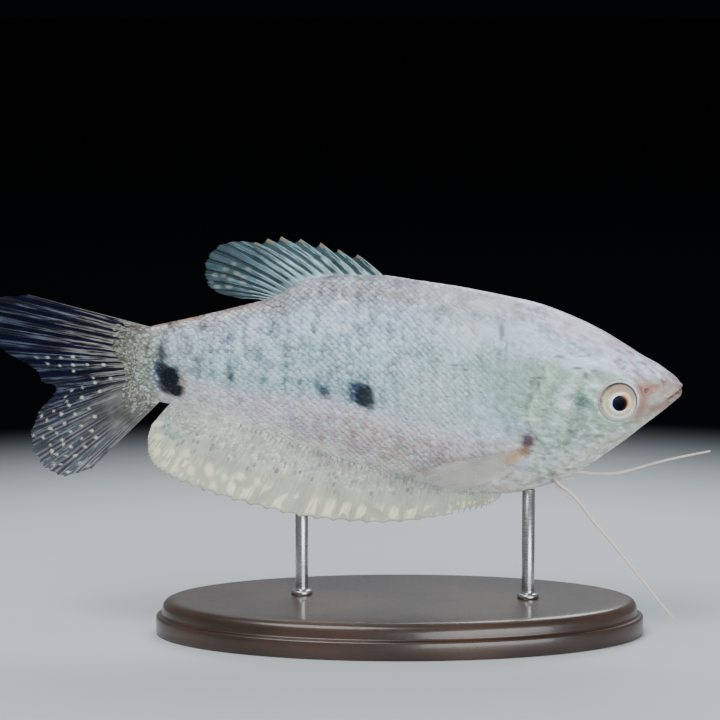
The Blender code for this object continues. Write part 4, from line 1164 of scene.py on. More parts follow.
def eye_material():
    found = bpy.data.materials.get("Gourami Eye")
    if found:
        return found
    shade = colours()
    material, tree, shader = new_material("Gourami Eye")
    away, turn = tree.attributes("from_axis", "round_axis")
    polar = tree.vector(cosine(turn), sine(turn), away)
    streaks = tree.noise(8.0, 4.0, vector=tree.stretched(polar, Scale=(1.0, 1.0, 0.25)))
    low = tree.between(sine(turn), -0.9, 0.3, 1.0, 0.0)
    iris = tree.fade(tuple(shade.iris), tone(192, 178, 146), streaks, 0.38, 0.6, 0.0, 0.8)
    speckle = tree.noise(2600.0, 2.0, vector=tree.place())
    iris = tree.fade(iris, tone(180, 170, 140), speckle, 0.42, 0.6, 0.0, 0.5)
    high = tree.between(sine(turn + 0.25), 0.0, 0.75)
    iris = tree.mix(high * tree.between(away, 1.6, 2.2, 0.5, 0.95), iris, tone(172, 154, 128))
    iris = tree.mix(low * tree.between(away, 2.3, 2.7), iris, tone(255, 255, 242))
    # Painted shade round the outer edge of the iris, strongest on the upper side, where the rim shadows it.
    shaded = tree.between(sine(turn + 0.6), -0.2, 0.7, 0.2, 0.9)
    iris = tree.mix(shaded * tree.between(away, 2.72, 3.0), iris, tone(92, 80, 92))
    gold = tree.between(cosine(turn) + sine(turn) * 0.2, 0.0, 0.9)
    edge = 1.8 + streaks * 0.4 + gold * 0.28
    ring = tree.between(away, 1.33, 1.4) * tree.between(away, edge, 1.72)
    amber = gold * tree.between(away, 1.9, 1.5, 0.25, 1.0)
    bright = tree.mix(amber, tuple(shade.iris_ring), tone(240, 176, 84))
    paint = tree.mix(ring, iris, bright)
    navy = tree.between(cosine(turn), -0.1, -0.9)
    pupil = tree.mix(navy * tree.between(away, 0.4, 1.2), tone(5, 6, 10), tone(10, 18, 66))
    glow = gold * tree.between(away, 0.9, 1.25)
    pupil = tree.mix(glow, pupil, tone(112, 74, 64))
    paint = tree.fade(paint, pupil, away, 1.42, 1.3)
    tree.fill(
        shader, Base_Color=paint, Roughness=tree.between(away, 1.4, 1.7, 0.2, 0.5), Specular_IOR_Level=0.06,
        Normal=tree.bump(streaks, 0.3, 0.0001),
    )
    return material


# The eye's rim from the iris outwards: radius, and how far it stands off the head
EYE_RIM = (
    (3.1, -0.62), (3.12, -0.4), (3.17, -0.2), (3.26, -0.02), (3.4, 0.09), (3.56, 0.11), (3.74, 0.05),
    (3.95, -0.06), (4.1, -0.2), (4.0, -0.7), (3.2, -1.0),
)


def make_eye_rim(side, name):
    """The soft ring of skin round the eye, which covers the edge of the socket."""
    around = 144
    theta = circle(around)
    radii, lifts = (np.array(column)[:, None] for column in zip(*EYE_RIM))
    behind = EYE[0] + radii * np.cos(theta)
    height = EYE[1] + radii * np.sin(theta)
    brow = 0.07 * np.maximum(np.sin(theta), 0) * (lifts > -0.05)
    rings = place(behind, side * (flank(behind, height) + lifts + brow), height)
    faces = grid_faces(len(EYE_RIM), around, closed=True)
    last = (len(EYE_RIM) - 1) * around
    faces += [[last + i, last + (i + 1) % around, (i + 1) % around, i] for i in range(around)]
    attributes = (("turn", np.tile(theta, len(EYE_RIM))), ("across", np.repeat(radii, around)))
    solid_piece(name, rings.reshape(-1, 3), faces, rim_material(), (), attributes)


def rim_material():
    """The ring of skin round the eye: painted shade inside at the top, a pale crescent above that is a
    painted highlight, a painted shadow line low towards the tail, then a rosy edge.
    """
    found = bpy.data.materials.get("Eye Rim")
    if found:
        return found
    material, tree, shader = new_material("Eye Rim")
    turn, across = tree.attributes("turn", "across")
    cloud = tree.noise(900.0, 3.0, vector=tree.place())
    # Painted highlight: a pale crescent on the upper part of the ring.
    above = tree.between(sine(turn - 0.6), 0.15, 0.75)
    paint = tree.mix(above, tone(180, 176, 170), tone(224, 238, 255))
    # Painted shade on the inner edge of the ring at the top.
    top_shade = tree.between(sine(turn - 0.6), -0.2, 0.7)
    inside = tree.mix(top_shade, tone(170, 168, 162), tone(116, 112, 126))
    paint = tree.fade(paint, inside, across, 3.3, 3.16)
    # Painted shadow: a thin dark line low on the ring, towards the tail.
    below = tree.between(sine(turn + 2.36), 0.3, 0.9, 0.0, 0.7)
    paint = tree.mix(below * tree.between(across, 3.26, 3.45), paint, tone(70, 76, 96))
    paint = tree.fade(paint, tone(146, 132, 146), across, 3.56, 3.7, 0.0, 0.8)
    front = tree.between(cosine(turn), -0.3, -0.9)
    outer = tree.mix(front, tone(172, 184, 180), tone(190, 160, 160))
    paint = tree.fade(paint, outer, across, 3.74, 3.98)
    paint = tree.fade(paint, tone(150, 156, 154), cloud, 0.4, 0.7, 0.0, 0.3)
    tree.fill(
        shader, Base_Color=paint, Roughness=0.34, Specular_IOR_Level=0.35,
        Normal=tree.bump(cloud, 0.3, 0.0001),
    )
    return material


# Fins


def guided(guides, count):
    """Rows of the guide table spread evenly over a number of rays."""
    at = np.linspace(0, len(guides) - 1, count)
    return np.stack([Curve(range(len(guides)), column)(at) for column in zip(*guides)], axis=-1)


# How deep the rays start in the body
ROOT_DEPTH = 1.2


class Fin:
    """A fin as rays in millimetres: root and tip, each behind, out and height, and a sideways wave."""

    def __init__(self, roots, tips, wave, bow=0.0, sunk=ROOT_DEPTH):
        roots, tips = np.asarray(roots, float), np.asarray(tips, float)
        along = tips - roots
        self.lengths = np.linalg.norm(along, axis=1)
        roots = roots - along / self.lengths[:, None] * sunk
        self.rays = len(roots)
        self.root_curves = [Curve(range(self.rays), column) for column in roots.T]
        self.tip_curves = [Curve(range(self.rays), column, loose=True) for column in tips.T]
        self.wave, self.bow = wave, bow

    def measures(self, ray, reach):
        """Behind, out and height at a ray share (0 to rays - 1) and a reach along the ray (0 root, 1 tip)."""
        ray, reach = np.broadcast_arrays(np.asarray(ray, float), np.asarray(reach, float))
        root = np.stack([curve(ray) for curve in self.root_curves], axis=-1)
        tip = np.stack([curve(ray) for curve in self.tip_curves], axis=-1)
        found = root + (tip - root) * reach[..., None]
        size = np.interp(ray, range(self.rays), self.lengths)
        found[..., 2] += self.bow * size * 4 * reach * (1 - reach)
        found[..., 1] += self.wave(ray, reach)
        return found

    def point(self, ray, reach):
        found = self.measures(ray, reach)
        return place(found[..., 0], found[..., 1], found[..., 2])


def spotted(behind, height, spots, size):
    """How much of each point is covered by the spots; a spot with no size of its own has the given one."""
    cover = np.zeros(behind.shape)
    for i, spot in enumerate(spots):
        vary = i * 0.618 % 1
        long, high = spot[2:] if len(spot) > 2 else (size * (0.9 + 0.4 * vary), size * (0.85 + 0.25 * vary))
        away = np.hypot((behind - spot[0]) / long, (height - spot[1]) / high)
        cover = np.maximum(cover, (0.7 + 0.3 * vary) * (1 - step_up(away, 0.5, 1.3)))
    return cover


def membrane(fin, notches, half_thickness, rows, columns, spots=(), spot_size=0.4, hooked=0, rag=0.01):
    """The skin between the rays, thin and closed, short of the tips by each notch and by up to the rag.

    Behind each of the first hooked spines the edge drops towards the next one; elsewhere it is hollow.
    """
    rng = random_numbers(fin.rays)
    rays = fin.rays
    shares = np.linspace(0, rays - 1, (rays - 1) * columns + 1)
    between = shares % 1.0
    notch = np.asarray(notches)[np.minimum(shares.astype(int), rays - 2)]
    hook = between**0.8 * (1 - step_up(between, 0.86, 0.995)) * 1.2
    hollow = 1 - notch * np.where(shares < hooked, hook, np.sin(math.pi * between) ** 0.8)
    hollow -= rag * rng.random(len(shares)) * (between > 0.01) * (shares >= hooked)
    v = np.linspace(0, 1, rows)
    s, w = np.meshgrid(shares, v, indexing="ij")
    reach = w * hollow[:, None]
    measures = fin.measures(s, reach)
    middle = place(measures[..., 0], measures[..., 1], measures[..., 2])
    normal = face_normals(middle)
    normal *= np.sign(normal[..., 1:2] + 1e-12)
    thick = half_thickness * (1 - 0.55 * w)[..., None] * MM
    points = np.stack([middle + normal * thick, middle - normal * thick]).reshape(-1, 3)
    count = len(shares) * rows
    quads = grid_faces(len(shares), rows)
    faces = quads + [[i + count for i in reversed(q)] for q in quads]
    rim = [i * rows for i in range(len(shares))] + [(len(shares) - 1) * rows + j for j in range(1, rows)]
    rim += [i * rows + rows - 1 for i in range(len(shares) - 2, -1, -1)] + [j for j in range(rows - 2, 0, -1)]
    faces += wall(rim, count)
    cover = spotted(measures[..., 0], measures[..., 2], spots, spot_size)
    values = {"ray": s, "reach": w, "spot": cover}
    return points, faces, {name: np.tile(value.ravel(), 2) for name, value in values.items()}


def tube_mesh(points, radii, sides=6):
    """A tapered tube along points, closed at both ends."""
    points = np.asarray(points)
    tangents = np.gradient(points, axis=0)
    tangents /= np.linalg.norm(tangents, axis=1, keepdims=True)
    first = np.cross(tangents, np.array([0.0, 1.0, 0.0]))
    first /= np.linalg.norm(first, axis=1, keepdims=True)
    second = np.cross(tangents, first)
    theta = circle(sides)
    offsets = first[:, None] * np.cos(theta)[None, :, None] + second[:, None] * np.sin(theta)[None, :, None]
    rings = points[:, None] + offsets * np.asarray(radii)[:, None, None]
    count = len(points) * sides
    made = np.concatenate([rings.reshape(-1, 3), points[:1], points[-1:]])
    faces = grid_faces(len(points), sides, closed=True)
    faces += [[(i + 1) % sides, i, count] for i in range(sides)]
    faces += fan(count - sides, sides, count + 1)
    return made, faces


def ray_tubes(fin, spines, forks, root_radius, tip_radius, rng):
    """The rays as tapered tubes. forks: (reach, half spread) of each forking of a soft ray."""
    parts, along, flecks = [], [], []
    last = fin.rays - 1

    def add(ray_line, reach_line, radii):
        points, faces = tube_mesh(fin.point(ray_line, reach_line), np.asarray(radii) * MM)
        parts.append((points, faces))
        along.append(np.append(np.repeat(reach_line, 6), [reach_line[0], reach_line[-1]]))
        flecks.append(np.full(len(points), rng.random()))

    def grow(ray, start, level):
        """A branch from a ray share and reach to the next fork or to the edge."""
        end = forks[level][0] + rng.normal(0, 0.025) if level < len(forks) else 0.99
        reach = np.linspace(start, end, 10)
        radius = (root_radius + (tip_radius - root_radius) * reach) * 0.82**level
        add(ray(np.linspace(0, 1, 10)), reach, radius)
        if level < len(forks):
            here = ray(np.array([1.0]))[0]
            for way in (-1, 1):
                spread = way * forks[level][1]
                grow(lambda t, h=here, d=spread: np.clip(h + d * t**0.7, 0, last), end - 0.01, level + 1)

    for i in range(last + 1):
        if i < spines:
            reach = np.linspace(0, 1.0, 18)
            add(np.full(18, float(i)), reach, root_radius * 1.15 * (1 - 0.5 * reach))
        else:
            grow(lambda t, i=i: np.full(len(t), float(i)), 0.0, 0)
    points, faces = combined(parts)
    return points, faces, {"reach": np.concatenate(along), "fleck": np.concatenate(flecks)}


def fin_pieces(name, made_membrane, made_rays, materials, slot, *nodes):
    """A fin's membrane and its rays, two pieces that stand for its nodes."""
    for label, (points, faces, values), material in (
        ("_membrane", made_membrane, materials[0]), ("_rays", made_rays, materials[1]),
    ):
        solid_piece(name + label, points, faces, material, nodes, values.items())


def membrane_material(
    name, dark, band, band_tip, widths, alphas, cloudy=0.4, streaks=9.0, ink=0.35, fray=0.0, margin=None,
    spot=1.0, low=None, lean=0.0, caps=None, rooted=True,
):
    """Translucent fin skin: dark between the rays, and more opaque in a striped band along each ray.

    widths: the band's half width at root and edge.
    alphas: the cover of the skin between the rays, of the bands at the root, and of the bands at the edge.
    ink: the tone of the fine lines in the bands against the dark skin; fray: how they spread to the edge.
    margin: the colour of cream streaks at the edge.
    low: for the rear or lower part, the colours of the bands at root and edge and of the skin between the
    rays, the cover added there, and its first ray.
    lean: how far the bands lie behind their rays; caps: the colour of the spines' tips.
    rooted: whether the fin is solid at its root, or else fades in from there and out at its edges.
    """
    low_root, low_edge, low_gap, low_cover, low_ray = low or (None, None, None, 0.0, 0.0)
    clear, root_cover, edge_cover = alphas
    material, tree, shader = new_material(name)
    ray, reach, spots = tree.attributes("ray", "reach", "spot")
    cream = margin or tuple(colours().fin_spot)
    cloud = tree.noise(260.0, 3.0, vector=tree.place())
    lines = tree.noise(1.0, 3.0, 0.6, tree.vector(ray * streaks, reach * 4.0), noise_dimensions="2D")
    off = tree.math("ABSOLUTE", tree.math("FRACT", ray + (0.5 - lean)) - 0.5)
    width = tree.between(reach, 0.0, 1.0, *widths)
    near = width + (lines - 0.5) * 0.3
    on_band = tree.between(off, near - 0.07, near + 0.07, 1.0, 0.0)
    on_band = maximum(on_band, tree.between(reach, 0.2, 0.09))
    base = tree.fade(band, band_tip, reach, 0.2, 0.8)
    if low:
        is_low = tree.between(ray, low_ray, low_ray + 4.0)
        base = tree.mix(is_low, base, tree.fade(low_root, low_edge, reach, 0.35, 0.8))
        if low_cover:
            on_band = maximum(on_band, is_low * tree.between(reach, 0.52, 0.3))
    shift = reach * fray
    low_line, high_line = 0.36 + shift, 0.58 + shift
    lined = maximum(tree.between(lines, low_line, high_line), tree.between(reach, 0.3, 0.1, 0.0, 0.8))
    if low_cover:
        lined = maximum(lined, is_low * tree.between(reach, 0.8, 0.25, 0.25, 0.65))
    striped = tree.mix(lined, lit(dark, ink), base)
    shade = tree.between(cloud, 0.3, 0.7, 1 - cloudy, 1 + cloudy)
    gap = dark
    if low:
        comb = tree.between(sine(ray * 25.2), -0.3, 0.5, 0.25, 1.0)
        gap = tree.mix(is_low * comb, dark, low_gap)
    paint = tree.mix(on_band, gap, striped)
    paint = tree.shaded(paint, shade)
    bars = tree.noise(1.0, 1.0, 0.4, tree.vector(ray * 0.9, reach * 4.2), noise_dimensions="2D")
    streak = tree.between(reach, 0.62, 0.8, 0.0, 1.0 if margin else 0.0) * tree.between(bars, 0.44, 0.54)
    streak = streak * tree.between(off, 0.12, 0.3)
    streak = streak * tree.between(reach, 0.99, 0.93, 0.3, 1.0)
    paint = tree.mix(streak * tree.between(lines, 0.34, 0.52, 0.25, 1.0), paint, cream)
    if caps:
        tip = tree.between(reach, 0.84, 0.92) * tree.between(off, 0.2, 0.12)
        tip = tip * tree.between(ray, 6.6, 6.3)
        paint = tree.mix(tip, paint, caps)
    paint = tree.mix(spots * spot, paint, cream)
    banded = tree.between(reach, 0.2, 0.95, root_cover, edge_cover)
    between_rays = tree.between(reach, 0.25, 0.6, (clear + root_cover) / 2, clear)
    if low:
        between_rays = between_rays + is_low * low_cover
    cover = between_rays + on_band * (banded - between_rays)
    cover = maximum(cover, spots * (0.97 * spot))
    if caps:
        cover = maximum(cover, tip * 0.9)
    if not rooted:
        cover = cover * (tree.between(reach, 0.04, 0.34) * tree.between(reach, 1.0, 0.75, 0.2, 1.0))
        cover = cover * tree.between(ray, 0.0, 1.2, 0.35, 1.0)
    relief_height = lines * 0.8 + on_band * 0.5
    tree.fill(
        shader, Base_Color=paint, Alpha=cover, Roughness=0.42, Specular_IOR_Level=0.3,
        Normal=tree.bump(relief_height, 0.35, 0.0002),
    )
    return material


def ray_material(name, paint, tip, alpha, root_alpha=1.0, ends=None):
    """Fin rays, jointed, which change in colour and cover towards the tip."""
    material, tree, shader = new_material(name)
    reach, fleck = tree.attributes("reach", "fleck")
    joints = sine(reach * 150.0)
    base = tree.fade(paint, tip, reach, 0.2, 1.0)
    base = tree.fade(base, lit(paint, 0.6), joints, 0.6, 1.0, 0.0, 0.35)
    base = tree.mix(fleck * 0.5, base, lit(paint, 0.5))
    if ends:
        base = tree.fade(base, ends, reach, 0.9, 0.97)
    tree.fill(
        shader, Base_Color=base, Alpha=tree.between(reach, 0.15, 0.9, root_alpha, alpha), Roughness=0.42,
        Normal=tree.bump(joints, 0.2, 0.00005),
    )
    return material


def fin_scales(name, fin, places, length, width, mark, material, spread_of_tone):
    """Small scales that run from the body out on to both faces of a fin.

    places are (ray share, reach, share of the wash) of each scale. mark is the furthest behind and the girth
    that give their colour, with None for the girth at each scale's own height.
    """
    rng = random_numbers(40 + len(places))
    along, across, rise, glow = scale_pattern()[0].T
    ray, reach, far = np.array(places * 2).T[:, :, None]
    side = np.repeat([-1.0, 1.0], len(places))[:, None]
    size = rng.normal(1, 0.08, ray.shape)
    lengths = np.interp(ray, range(fin.rays), fin.lengths) + ROOT_DEPTH
    spread = np.linalg.norm(fin.point(ray + 0.5, reach) - fin.point(ray - 0.5, reach), axis=-1) / MM
    x, y = (along - SCALE_ROOT) * length * size, across * width * size
    at_ray = np.clip(ray + y / np.maximum(spread, 0.3), 0, fin.rays - 1)
    at_reach = np.maximum(reach + x / lengths, 0.0)
    points = fin.point(at_ray, at_reach)
    from_root = at_reach * lengths - ROOT_DEPTH
    lift = 0.10 + 0.04 * (rise + 0.8) + 0.32 * np.exp(-np.maximum(from_root, 0) / 0.7)
    points[..., 1] += side * lift * MM
    measures = fin.measures(at_ray, at_reach)
    furthest, one_girth = mark
    behind = np.minimum(measures[..., 0], furthest)
    girth = np.full(at_ray.size, one_girth) if one_girth else girth_share(behind, measures[..., 2])
    # glow runs from 0.4 to 0.9 on these plates, so their painted edge shade stays faint.
    attributes = (
        ("behind", behind), ("height", measures[..., 2]), ("girth", girth),
        ("fleck", np.repeat(np.clip(rng.normal(0.38, spread_of_tone, len(ray)), 0, 1), len(along))),
        ("glow", np.tile(glow, len(ray)) * 0.5 + 0.4), ("far", np.repeat(far, len(along))),
    )
    u = 0.02 + 0.9 * ray / fin.rays
    v = 0.25 + 0.25 * (side + 1) + reach * 0.4
    plate_piece(name, points, attributes, u, v, material, np.ones(len(ray), bool))


def median_fin(guides, count, edge, wave, bow=0.0):
    """A fin that grows from the back or the belly."""
    rows = guided(guides, count)
    roots = np.stack([rows[:, 0], np.zeros(count), edge(rows[:, 0])], axis=-1)
    tips = np.stack([rows[:, 1], np.zeros(count), rows[:, 2]], axis=-1)
    return Fin(roots, tips, lambda ray, reach: wave(ray / (count - 1), reach), bow)


def make_dorsal_fin():
    rng = random_numbers(20)
    count = DORSAL_SPINES + DORSAL_RAYS
    wave = lambda share, reach: 0.5 * np.sin(5 * share) * reach
    fin = median_fin(DORSAL_GUIDES, count, lambda behind: section(behind)[0], wave, 0.04)
    notches = [0.32, 0.30, 0.25, 0.19, 0.13, 0.08] + [0.02] * (count - DORSAL_SPINES)
    materials = (
        membrane_material(
            "Dorsal Membrane", tone(62, 90, 100), tone(190, 228, 232), tone(160, 194, 198), (0.29, 0.25),
            (0.5, 0.97, 0.86), streaks=13.0, ink=0.55, fray=0.12, spot=0.3,
            low=(tone(124, 156, 166), tone(70, 92, 104), tone(10, 18, 28), 0.0, 6.0), lean=0.14,
            caps=tone(142, 128, 96),
        ),
        ray_material("Dorsal Rays", tone(222, 244, 246), tone(146, 170, 178), 0.85, ends=tone(160, 146, 116)),
    )
    made = membrane(fin, notches, 0.06, 40, 12, DORSAL_SPOTS, 0.5, hooked=DORSAL_SPINES - 1)
    rays = ray_tubes(fin, DORSAL_SPINES, ((0.40, 0.16), (0.68, 0.10)), 0.08, 0.03, rng)
    fin_pieces("dorsal_fin", made, rays, materials, "fin", "dorsal_fin")


def make_anal_fin():
    rng = random_numbers(21)
    count = ANAL_SPINES + ANAL_RAYS
    wave = lambda share, reach: 0.7 * np.sin(9 * share) * reach * reach
    fin = median_fin(ANAL_GUIDES, count, lambda behind: section(behind)[1], wave)
    notches = [0.16 if i < ANAL_SPINES - 1 else 0.03 for i in range(count - 1)]
    materials = (
        membrane_material(
            "Anal Membrane", tone(190, 199, 184), tuple(colours().anal_fin), tone(200, 200, 176), (0.4, 0.36),
            (0.97, 0.99, 0.98), cloudy=0.12, streaks=8.0, ink=0.9, margin=tone(255, 254, 216),
        ),
        ray_material("Anal Rays", tone(188, 197, 182), tone(160, 160, 138), 0.9),
    )
    made = membrane(fin, notches, 0.15, 40, 5, ANAL_SPOTS)
    rays = ray_tubes(fin, ANAL_SPINES, ((0.55, 0.14),), 0.07, 0.05, rng)
    fin_pieces("anal_fin", made, rays, materials, "anal_fin", "anal_fin")
    places = []
    for row, ray in enumerate(np.arange(0.6, count - 1.1, 0.28)):
        size = fin.lengths[int(ray)] + ROOT_DEPTH
        end = 0.12 + 0.36 * min(ray / 16, 1)
        for reach in np.arange(0.025 + 0.02 * (row % 2), end + 0.12, 0.68 / size):
            far = reach / end
            if rng.random() < 1.9 - 1.5 * far:
                places.append((ray + rng.normal(0, 0.04), reach, min(0.25 + 0.75 * far, 1.0)))
    material = scale_material("Anal Base Scales", tone(174, 187, 173))
    fin_scales("anal_scales", fin, places, 0.98, 0.31, (99.0, 0.93), material, 0.14)


def tail_fin_shape():
    """The tail fin, whose lobes lean apart a little."""
    table = np.array(TAIL_RAYS)
    zero = np.zeros(len(table))
    lean = lambda ray, reach: np.interp(ray, range(len(table)), table[:, 4]) * reach * reach
    roots = np.stack([table[:, 0], zero, table[:, 1]], axis=-1)
    return Fin(roots, np.stack([table[:, 2], zero, table[:, 3]], axis=-1), lean)


def make_tail_fin():
    rng = random_numbers(22)
    fin = tail_fin_shape()
    materials = (
        membrane_material(
            "Tail Membrane", tone(3, 7, 44), tone(140, 140, 132), tone(76, 88, 112), (0.33, 0.24),
            (0.38, 0.97, 0.66), streaks=5.5, ink=0.3, fray=0.1,
            low=(tone(112, 112, 110), tone(132, 142, 152), tone(112, 112, 114), 0.5, 8.5),
        ),
        ray_material("Tail Rays", tone(150, 150, 142), tone(88, 98, 114), 0.6),
    )
    made = membrane(fin, [0.004] * (fin.rays - 1), 0.07, 120, 10, TAIL_SPOTS, 0.25, rag=0.03)
    rays = ray_tubes(fin, 0, ((0.20, 0.13), (0.50, 0.09), (0.74, 0.05)), 0.10, 0.03, rng)
    fin_pieces("tail_fin", made, rays, materials, "fin", "tail_fin_upper", "tail_fin_lower")
    places = []
    for row, ray in enumerate(np.arange(0.3, 14.8, 0.19)):
        for reach in np.arange(0.02 + 0.009 * (row % 2), 0.155 + 0.07 * abs(ray - 7) / 7, 0.018):
            far = step_up(reach, 0.0, 0.15)
            if rng.random() < 1.7 - 1.2 * far:
                places.append((ray + rng.normal(0, 0.05), reach, 0.2 + 0.8 * far))
    material = scale_material("Tail Base Scales", tone(114, 115, 104))
    fin_scales("tail_scales", fin, places, 0.60, 0.19, (91.0, None), material, 0.52)


def make_pectoral_fin(side, name):
    rng = random_numbers(23 + (side > 0))
    rows = guided(PECTORAL_GUIDES, PECTORAL_RAYS)
    surface = flank(rows[:, 0], rows[:, 1]) - swing(rows[:, 0]) * side
    out = surface + (rows[:, 2] - rows[:, 0]) * math.tan(PECTORAL_SPREAD) - side * swing(rows[:, 2])
    roots = np.stack([rows[:, 0] - 1.0, side * (surface - 0.9), rows[:, 1]], axis=-1)
    tips = np.stack([rows[:, 2], side * out, rows[:, 3]], axis=-1)
    fin = Fin(roots, tips, lambda ray, reach: side * 1.1 * np.sin(math.pi * reach), sunk=0.0)
    if "Pectoral Membrane" not in bpy.data.materials:
        membrane_material(
            "Pectoral Membrane", tone(206, 204, 194), tone(208, 204, 192), tone(204, 206, 198), (0.3, 0.3),
            (0.36, 0.42, 0.38), 0.1, ink=0.94, rooted=False,
        )
        ray_material("Pectoral Rays", tone(200, 192, 176), tone(206, 206, 200), 0.16, 0.0)
    materials = (bpy.data.materials["Pectoral Membrane"], bpy.data.materials["Pectoral Rays"])
    made = membrane(fin, [0.03] * (PECTORAL_RAYS - 1), 0.05, 24, 4)
    rays = ray_tubes(fin, 0, ((0.45, 0.14), (0.75, 0.09)), 0.06, 0.03, rng)
    fin_pieces(name, made, rays, materials, "fin", name)


# Feelers


def make_feeler(side, name, route, short_route):
    """A thread-like pelvic fin: a long jointed ray with a short second ray at its root."""
    parts, along = [], []
    for points, count, root, tip in ((route, 110, 0.36, 0.15), (short_route, 24, 0.24, 0.08)):
        rows = guided(points, count)
        share = np.linspace(0, 1, count)
        radii = (root + (tip - root) * share) * (1 + 0.04 * np.sin(share * 260))
        parts.append(tube_mesh(place(rows[:, 0], side * rows[:, 2], rows[:, 1]), radii * MM, 10))
        along.append(np.append(np.repeat(share, 10), [0, 1]))
    points, faces = combined(parts)
    attributes = (("reach", np.concatenate(along)),)
    solid_piece(name + "_ray", points, faces, feeler_material(), (name,), attributes)


def feeler_material():
    found = bpy.data.materials.get("Gourami Feeler")
    if found:
        return found
    material, tree, shader = new_material("Gourami Feeler")
    reach = tree.attributes("reach")[0]
    cloud = tree.noise(500.0, 2.0, vector=tree.place())
    paint = tree.fade(tone(196, 158, 142), tuple(colours().feeler), reach, 0.0, 0.12)
    paint = tree.fade(paint, tone(190, 178, 168), cloud, 0.4, 0.7, 0.0, 0.25)
    tree.fill(shader, Base_Color=paint, Roughness=0.38, Normal=tree.bump(sine(reach * 400.0), 0.2, 0.00005))
    return material


# Stand

# Edge of the base from below: inset and level; foot of the rods: how far it stands out, and level
BASE_PROFILE = (
    (1.4, 0.0), (0.5, 0.0), (0.12, 0.14), (0.0, 0.5), (0.0, 2.9), (0.1, 3.15), (0.4, 3.25), (0.8, 3.3),
    (1.0, 3.42), (1.05, 3.7), (1.08, 4.5), (1.25, 5.1), (1.7, 5.65), (2.4, 5.93), (3.2, 6.0), (4.2, 6.0),
)
COLLAR_PROFILE = ((0.75, 5.8), (0.75, 6.5), (0.68, 6.72), (0.5, 6.82), (0.12, 6.88), (0.0, 6.98), (0.0, 7.4))


def wood_material():
    material, tree, shader = new_material("Stained Wood")
    where = tree.place()
    grain = tree.stretched(where, Scale=(6.0, 60.0, 60.0))
    warp = tree.noise(4.0, 4.0, vector=grain)
    rings = tree.node("ShaderNodeTexWave", "Fac", _Vector=grain, _Scale=1.6, _Distortion=6.0, _Detail=3.0)
    pores = tree.noise(30.0, 5.0, vector=tree.stretched(where, Scale=(20.0, 400.0, 400.0)))
    stain = tuple(colours().wood)
    paint = tree.mix(rings, lit(stain, 0.6), lit(stain, 1.5))
    paint = tree.fade(paint, lit(stain, 0.8), warp, 0.3, 0.7, 0.0, 0.5)
    paint = tree.fade(paint, lit(stain, 0.3), pores, 0.56, 0.66, 0.0, 0.6)
    tree.fill(
        shader, Base_Color=paint, Roughness=tree.between(pores, 0.3, 0.7, 0.26, 0.42), Coat_Weight=0.4,
        Coat_Roughness=0.12, Normal=tree.bump(pores, 0.15, 0.0001),
    )
    return material


def steel_material():
    material, tree, shader = new_material("Brushed Rod")
    lines = tree.noise(1.0, 4.0, vector=tree.stretched(tree.place(), Scale=(400.0, 400.0, 18000.0)))
    tree.fill(
        shader, Base_Color=tree.mix(lines, tone(150, 152, 154), tone(206, 208, 208)), Metallic=1.0,
        Roughness=tree.between(lines, 0.3, 0.7, 0.22, 0.38), Normal=tree.bump(lines, 0.12, 0.00003),
    )
    return material


def turned_piece(name, rings, around, centre, material, node):
    """A closed turned piece from rings of (half length, half width, level), from the bottom up."""
    theta = circle(around)
    points = []
    for long, wide, level in rings:
        x, y = centre[0] + long * np.cos(theta), centre[1] + wide * np.sin(theta)
        points.append(np.stack([x, y, np.full(around, level)], axis=-1))
    points = np.concatenate(points)
    faces = grid_faces(len(rings), around, closed=True)
    faces += [list(range(around)), [len(points) - around + i for i in range(around)]]
    solid_piece(name, points * MM, faces, material, (node,))


def make_stand():
    """The oval base with a stepped, eased edge, and two round rods with a collar at the foot."""
    low, high = (np.array(corner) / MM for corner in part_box("stand_base"))
    half = (high - low) / 2
    rings = [(half[0] - inset, half[1] - inset, level) for inset, level in BASE_PROFILE]
    turned_piece("stand_base_oval", rings, 240, (low + half)[:2], wood_material(), "stand_base")
    steel = steel_material()
    for node in ("stand_rod_front", "stand_rod_rear"):
        low, high = (np.array(corner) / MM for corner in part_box(node))
        radius = (high[0] - low[0]) / 2
        rings = [(radius + more, radius + more, level) for more, level in COLLAR_PROFILE]
        rings += [(radius, radius, high[2] - 0.1), (radius - 0.2, radius - 0.2, high[2])]
        turned_piece(node + "_round", rings, 64, ((low + high) / 2)[:2], steel, node)


# Stage


def make_floor():
    """A round pale floor with a painted pool of light round the stand, falling off to dark further out."""
    bm = bmesh.new()
    bmesh.ops.create_circle(bm, cap_ends=True, segments=128, radius=2.5)
    mesh = bpy.data.meshes.new("floor")
    bm.to_mesh(mesh)
    bm.free()
    floor = add_object("floor", mesh)
    material, tree, shader = new_material("Studio Floor")
    where = tree.place()
    away = tree.node("ShaderNodeVectorMath", "Value", operation="LENGTH", _0=where)
    pale = tuple(colours().floor)
    cloud = tree.noise(40.0, 4.0, vector=where)
    near = tree.fade(pale, lit(pale, 0.8), cloud, 0.3, 0.7, 0.0, 0.08)
    # Painted pool of light: pale near the middle, fading to dark between 0.11 and 0.24 m out.
    tree.fill(
        shader, Base_Color=tree.fade(near, tone(6, 7, 10), away, 0.11, 0.24), Roughness=0.9,
        Specular_IOR_Level=0.0,
    )
    floor.data.materials.append(material)


def area_light(name, power, size, place_at, target, tint=(1, 1, 1)):
    light = bpy.data.lights.new(name, "AREA")
    light.shape, light.size, light.energy, light.color = "DISK", size, power, tint
    lamp = add_object(name, light)
    lamp.location = place_at
    lamp.rotation_euler = (Vector(target) - Vector(place_at)).to_track_quat("-Z", "Y").to_euler()


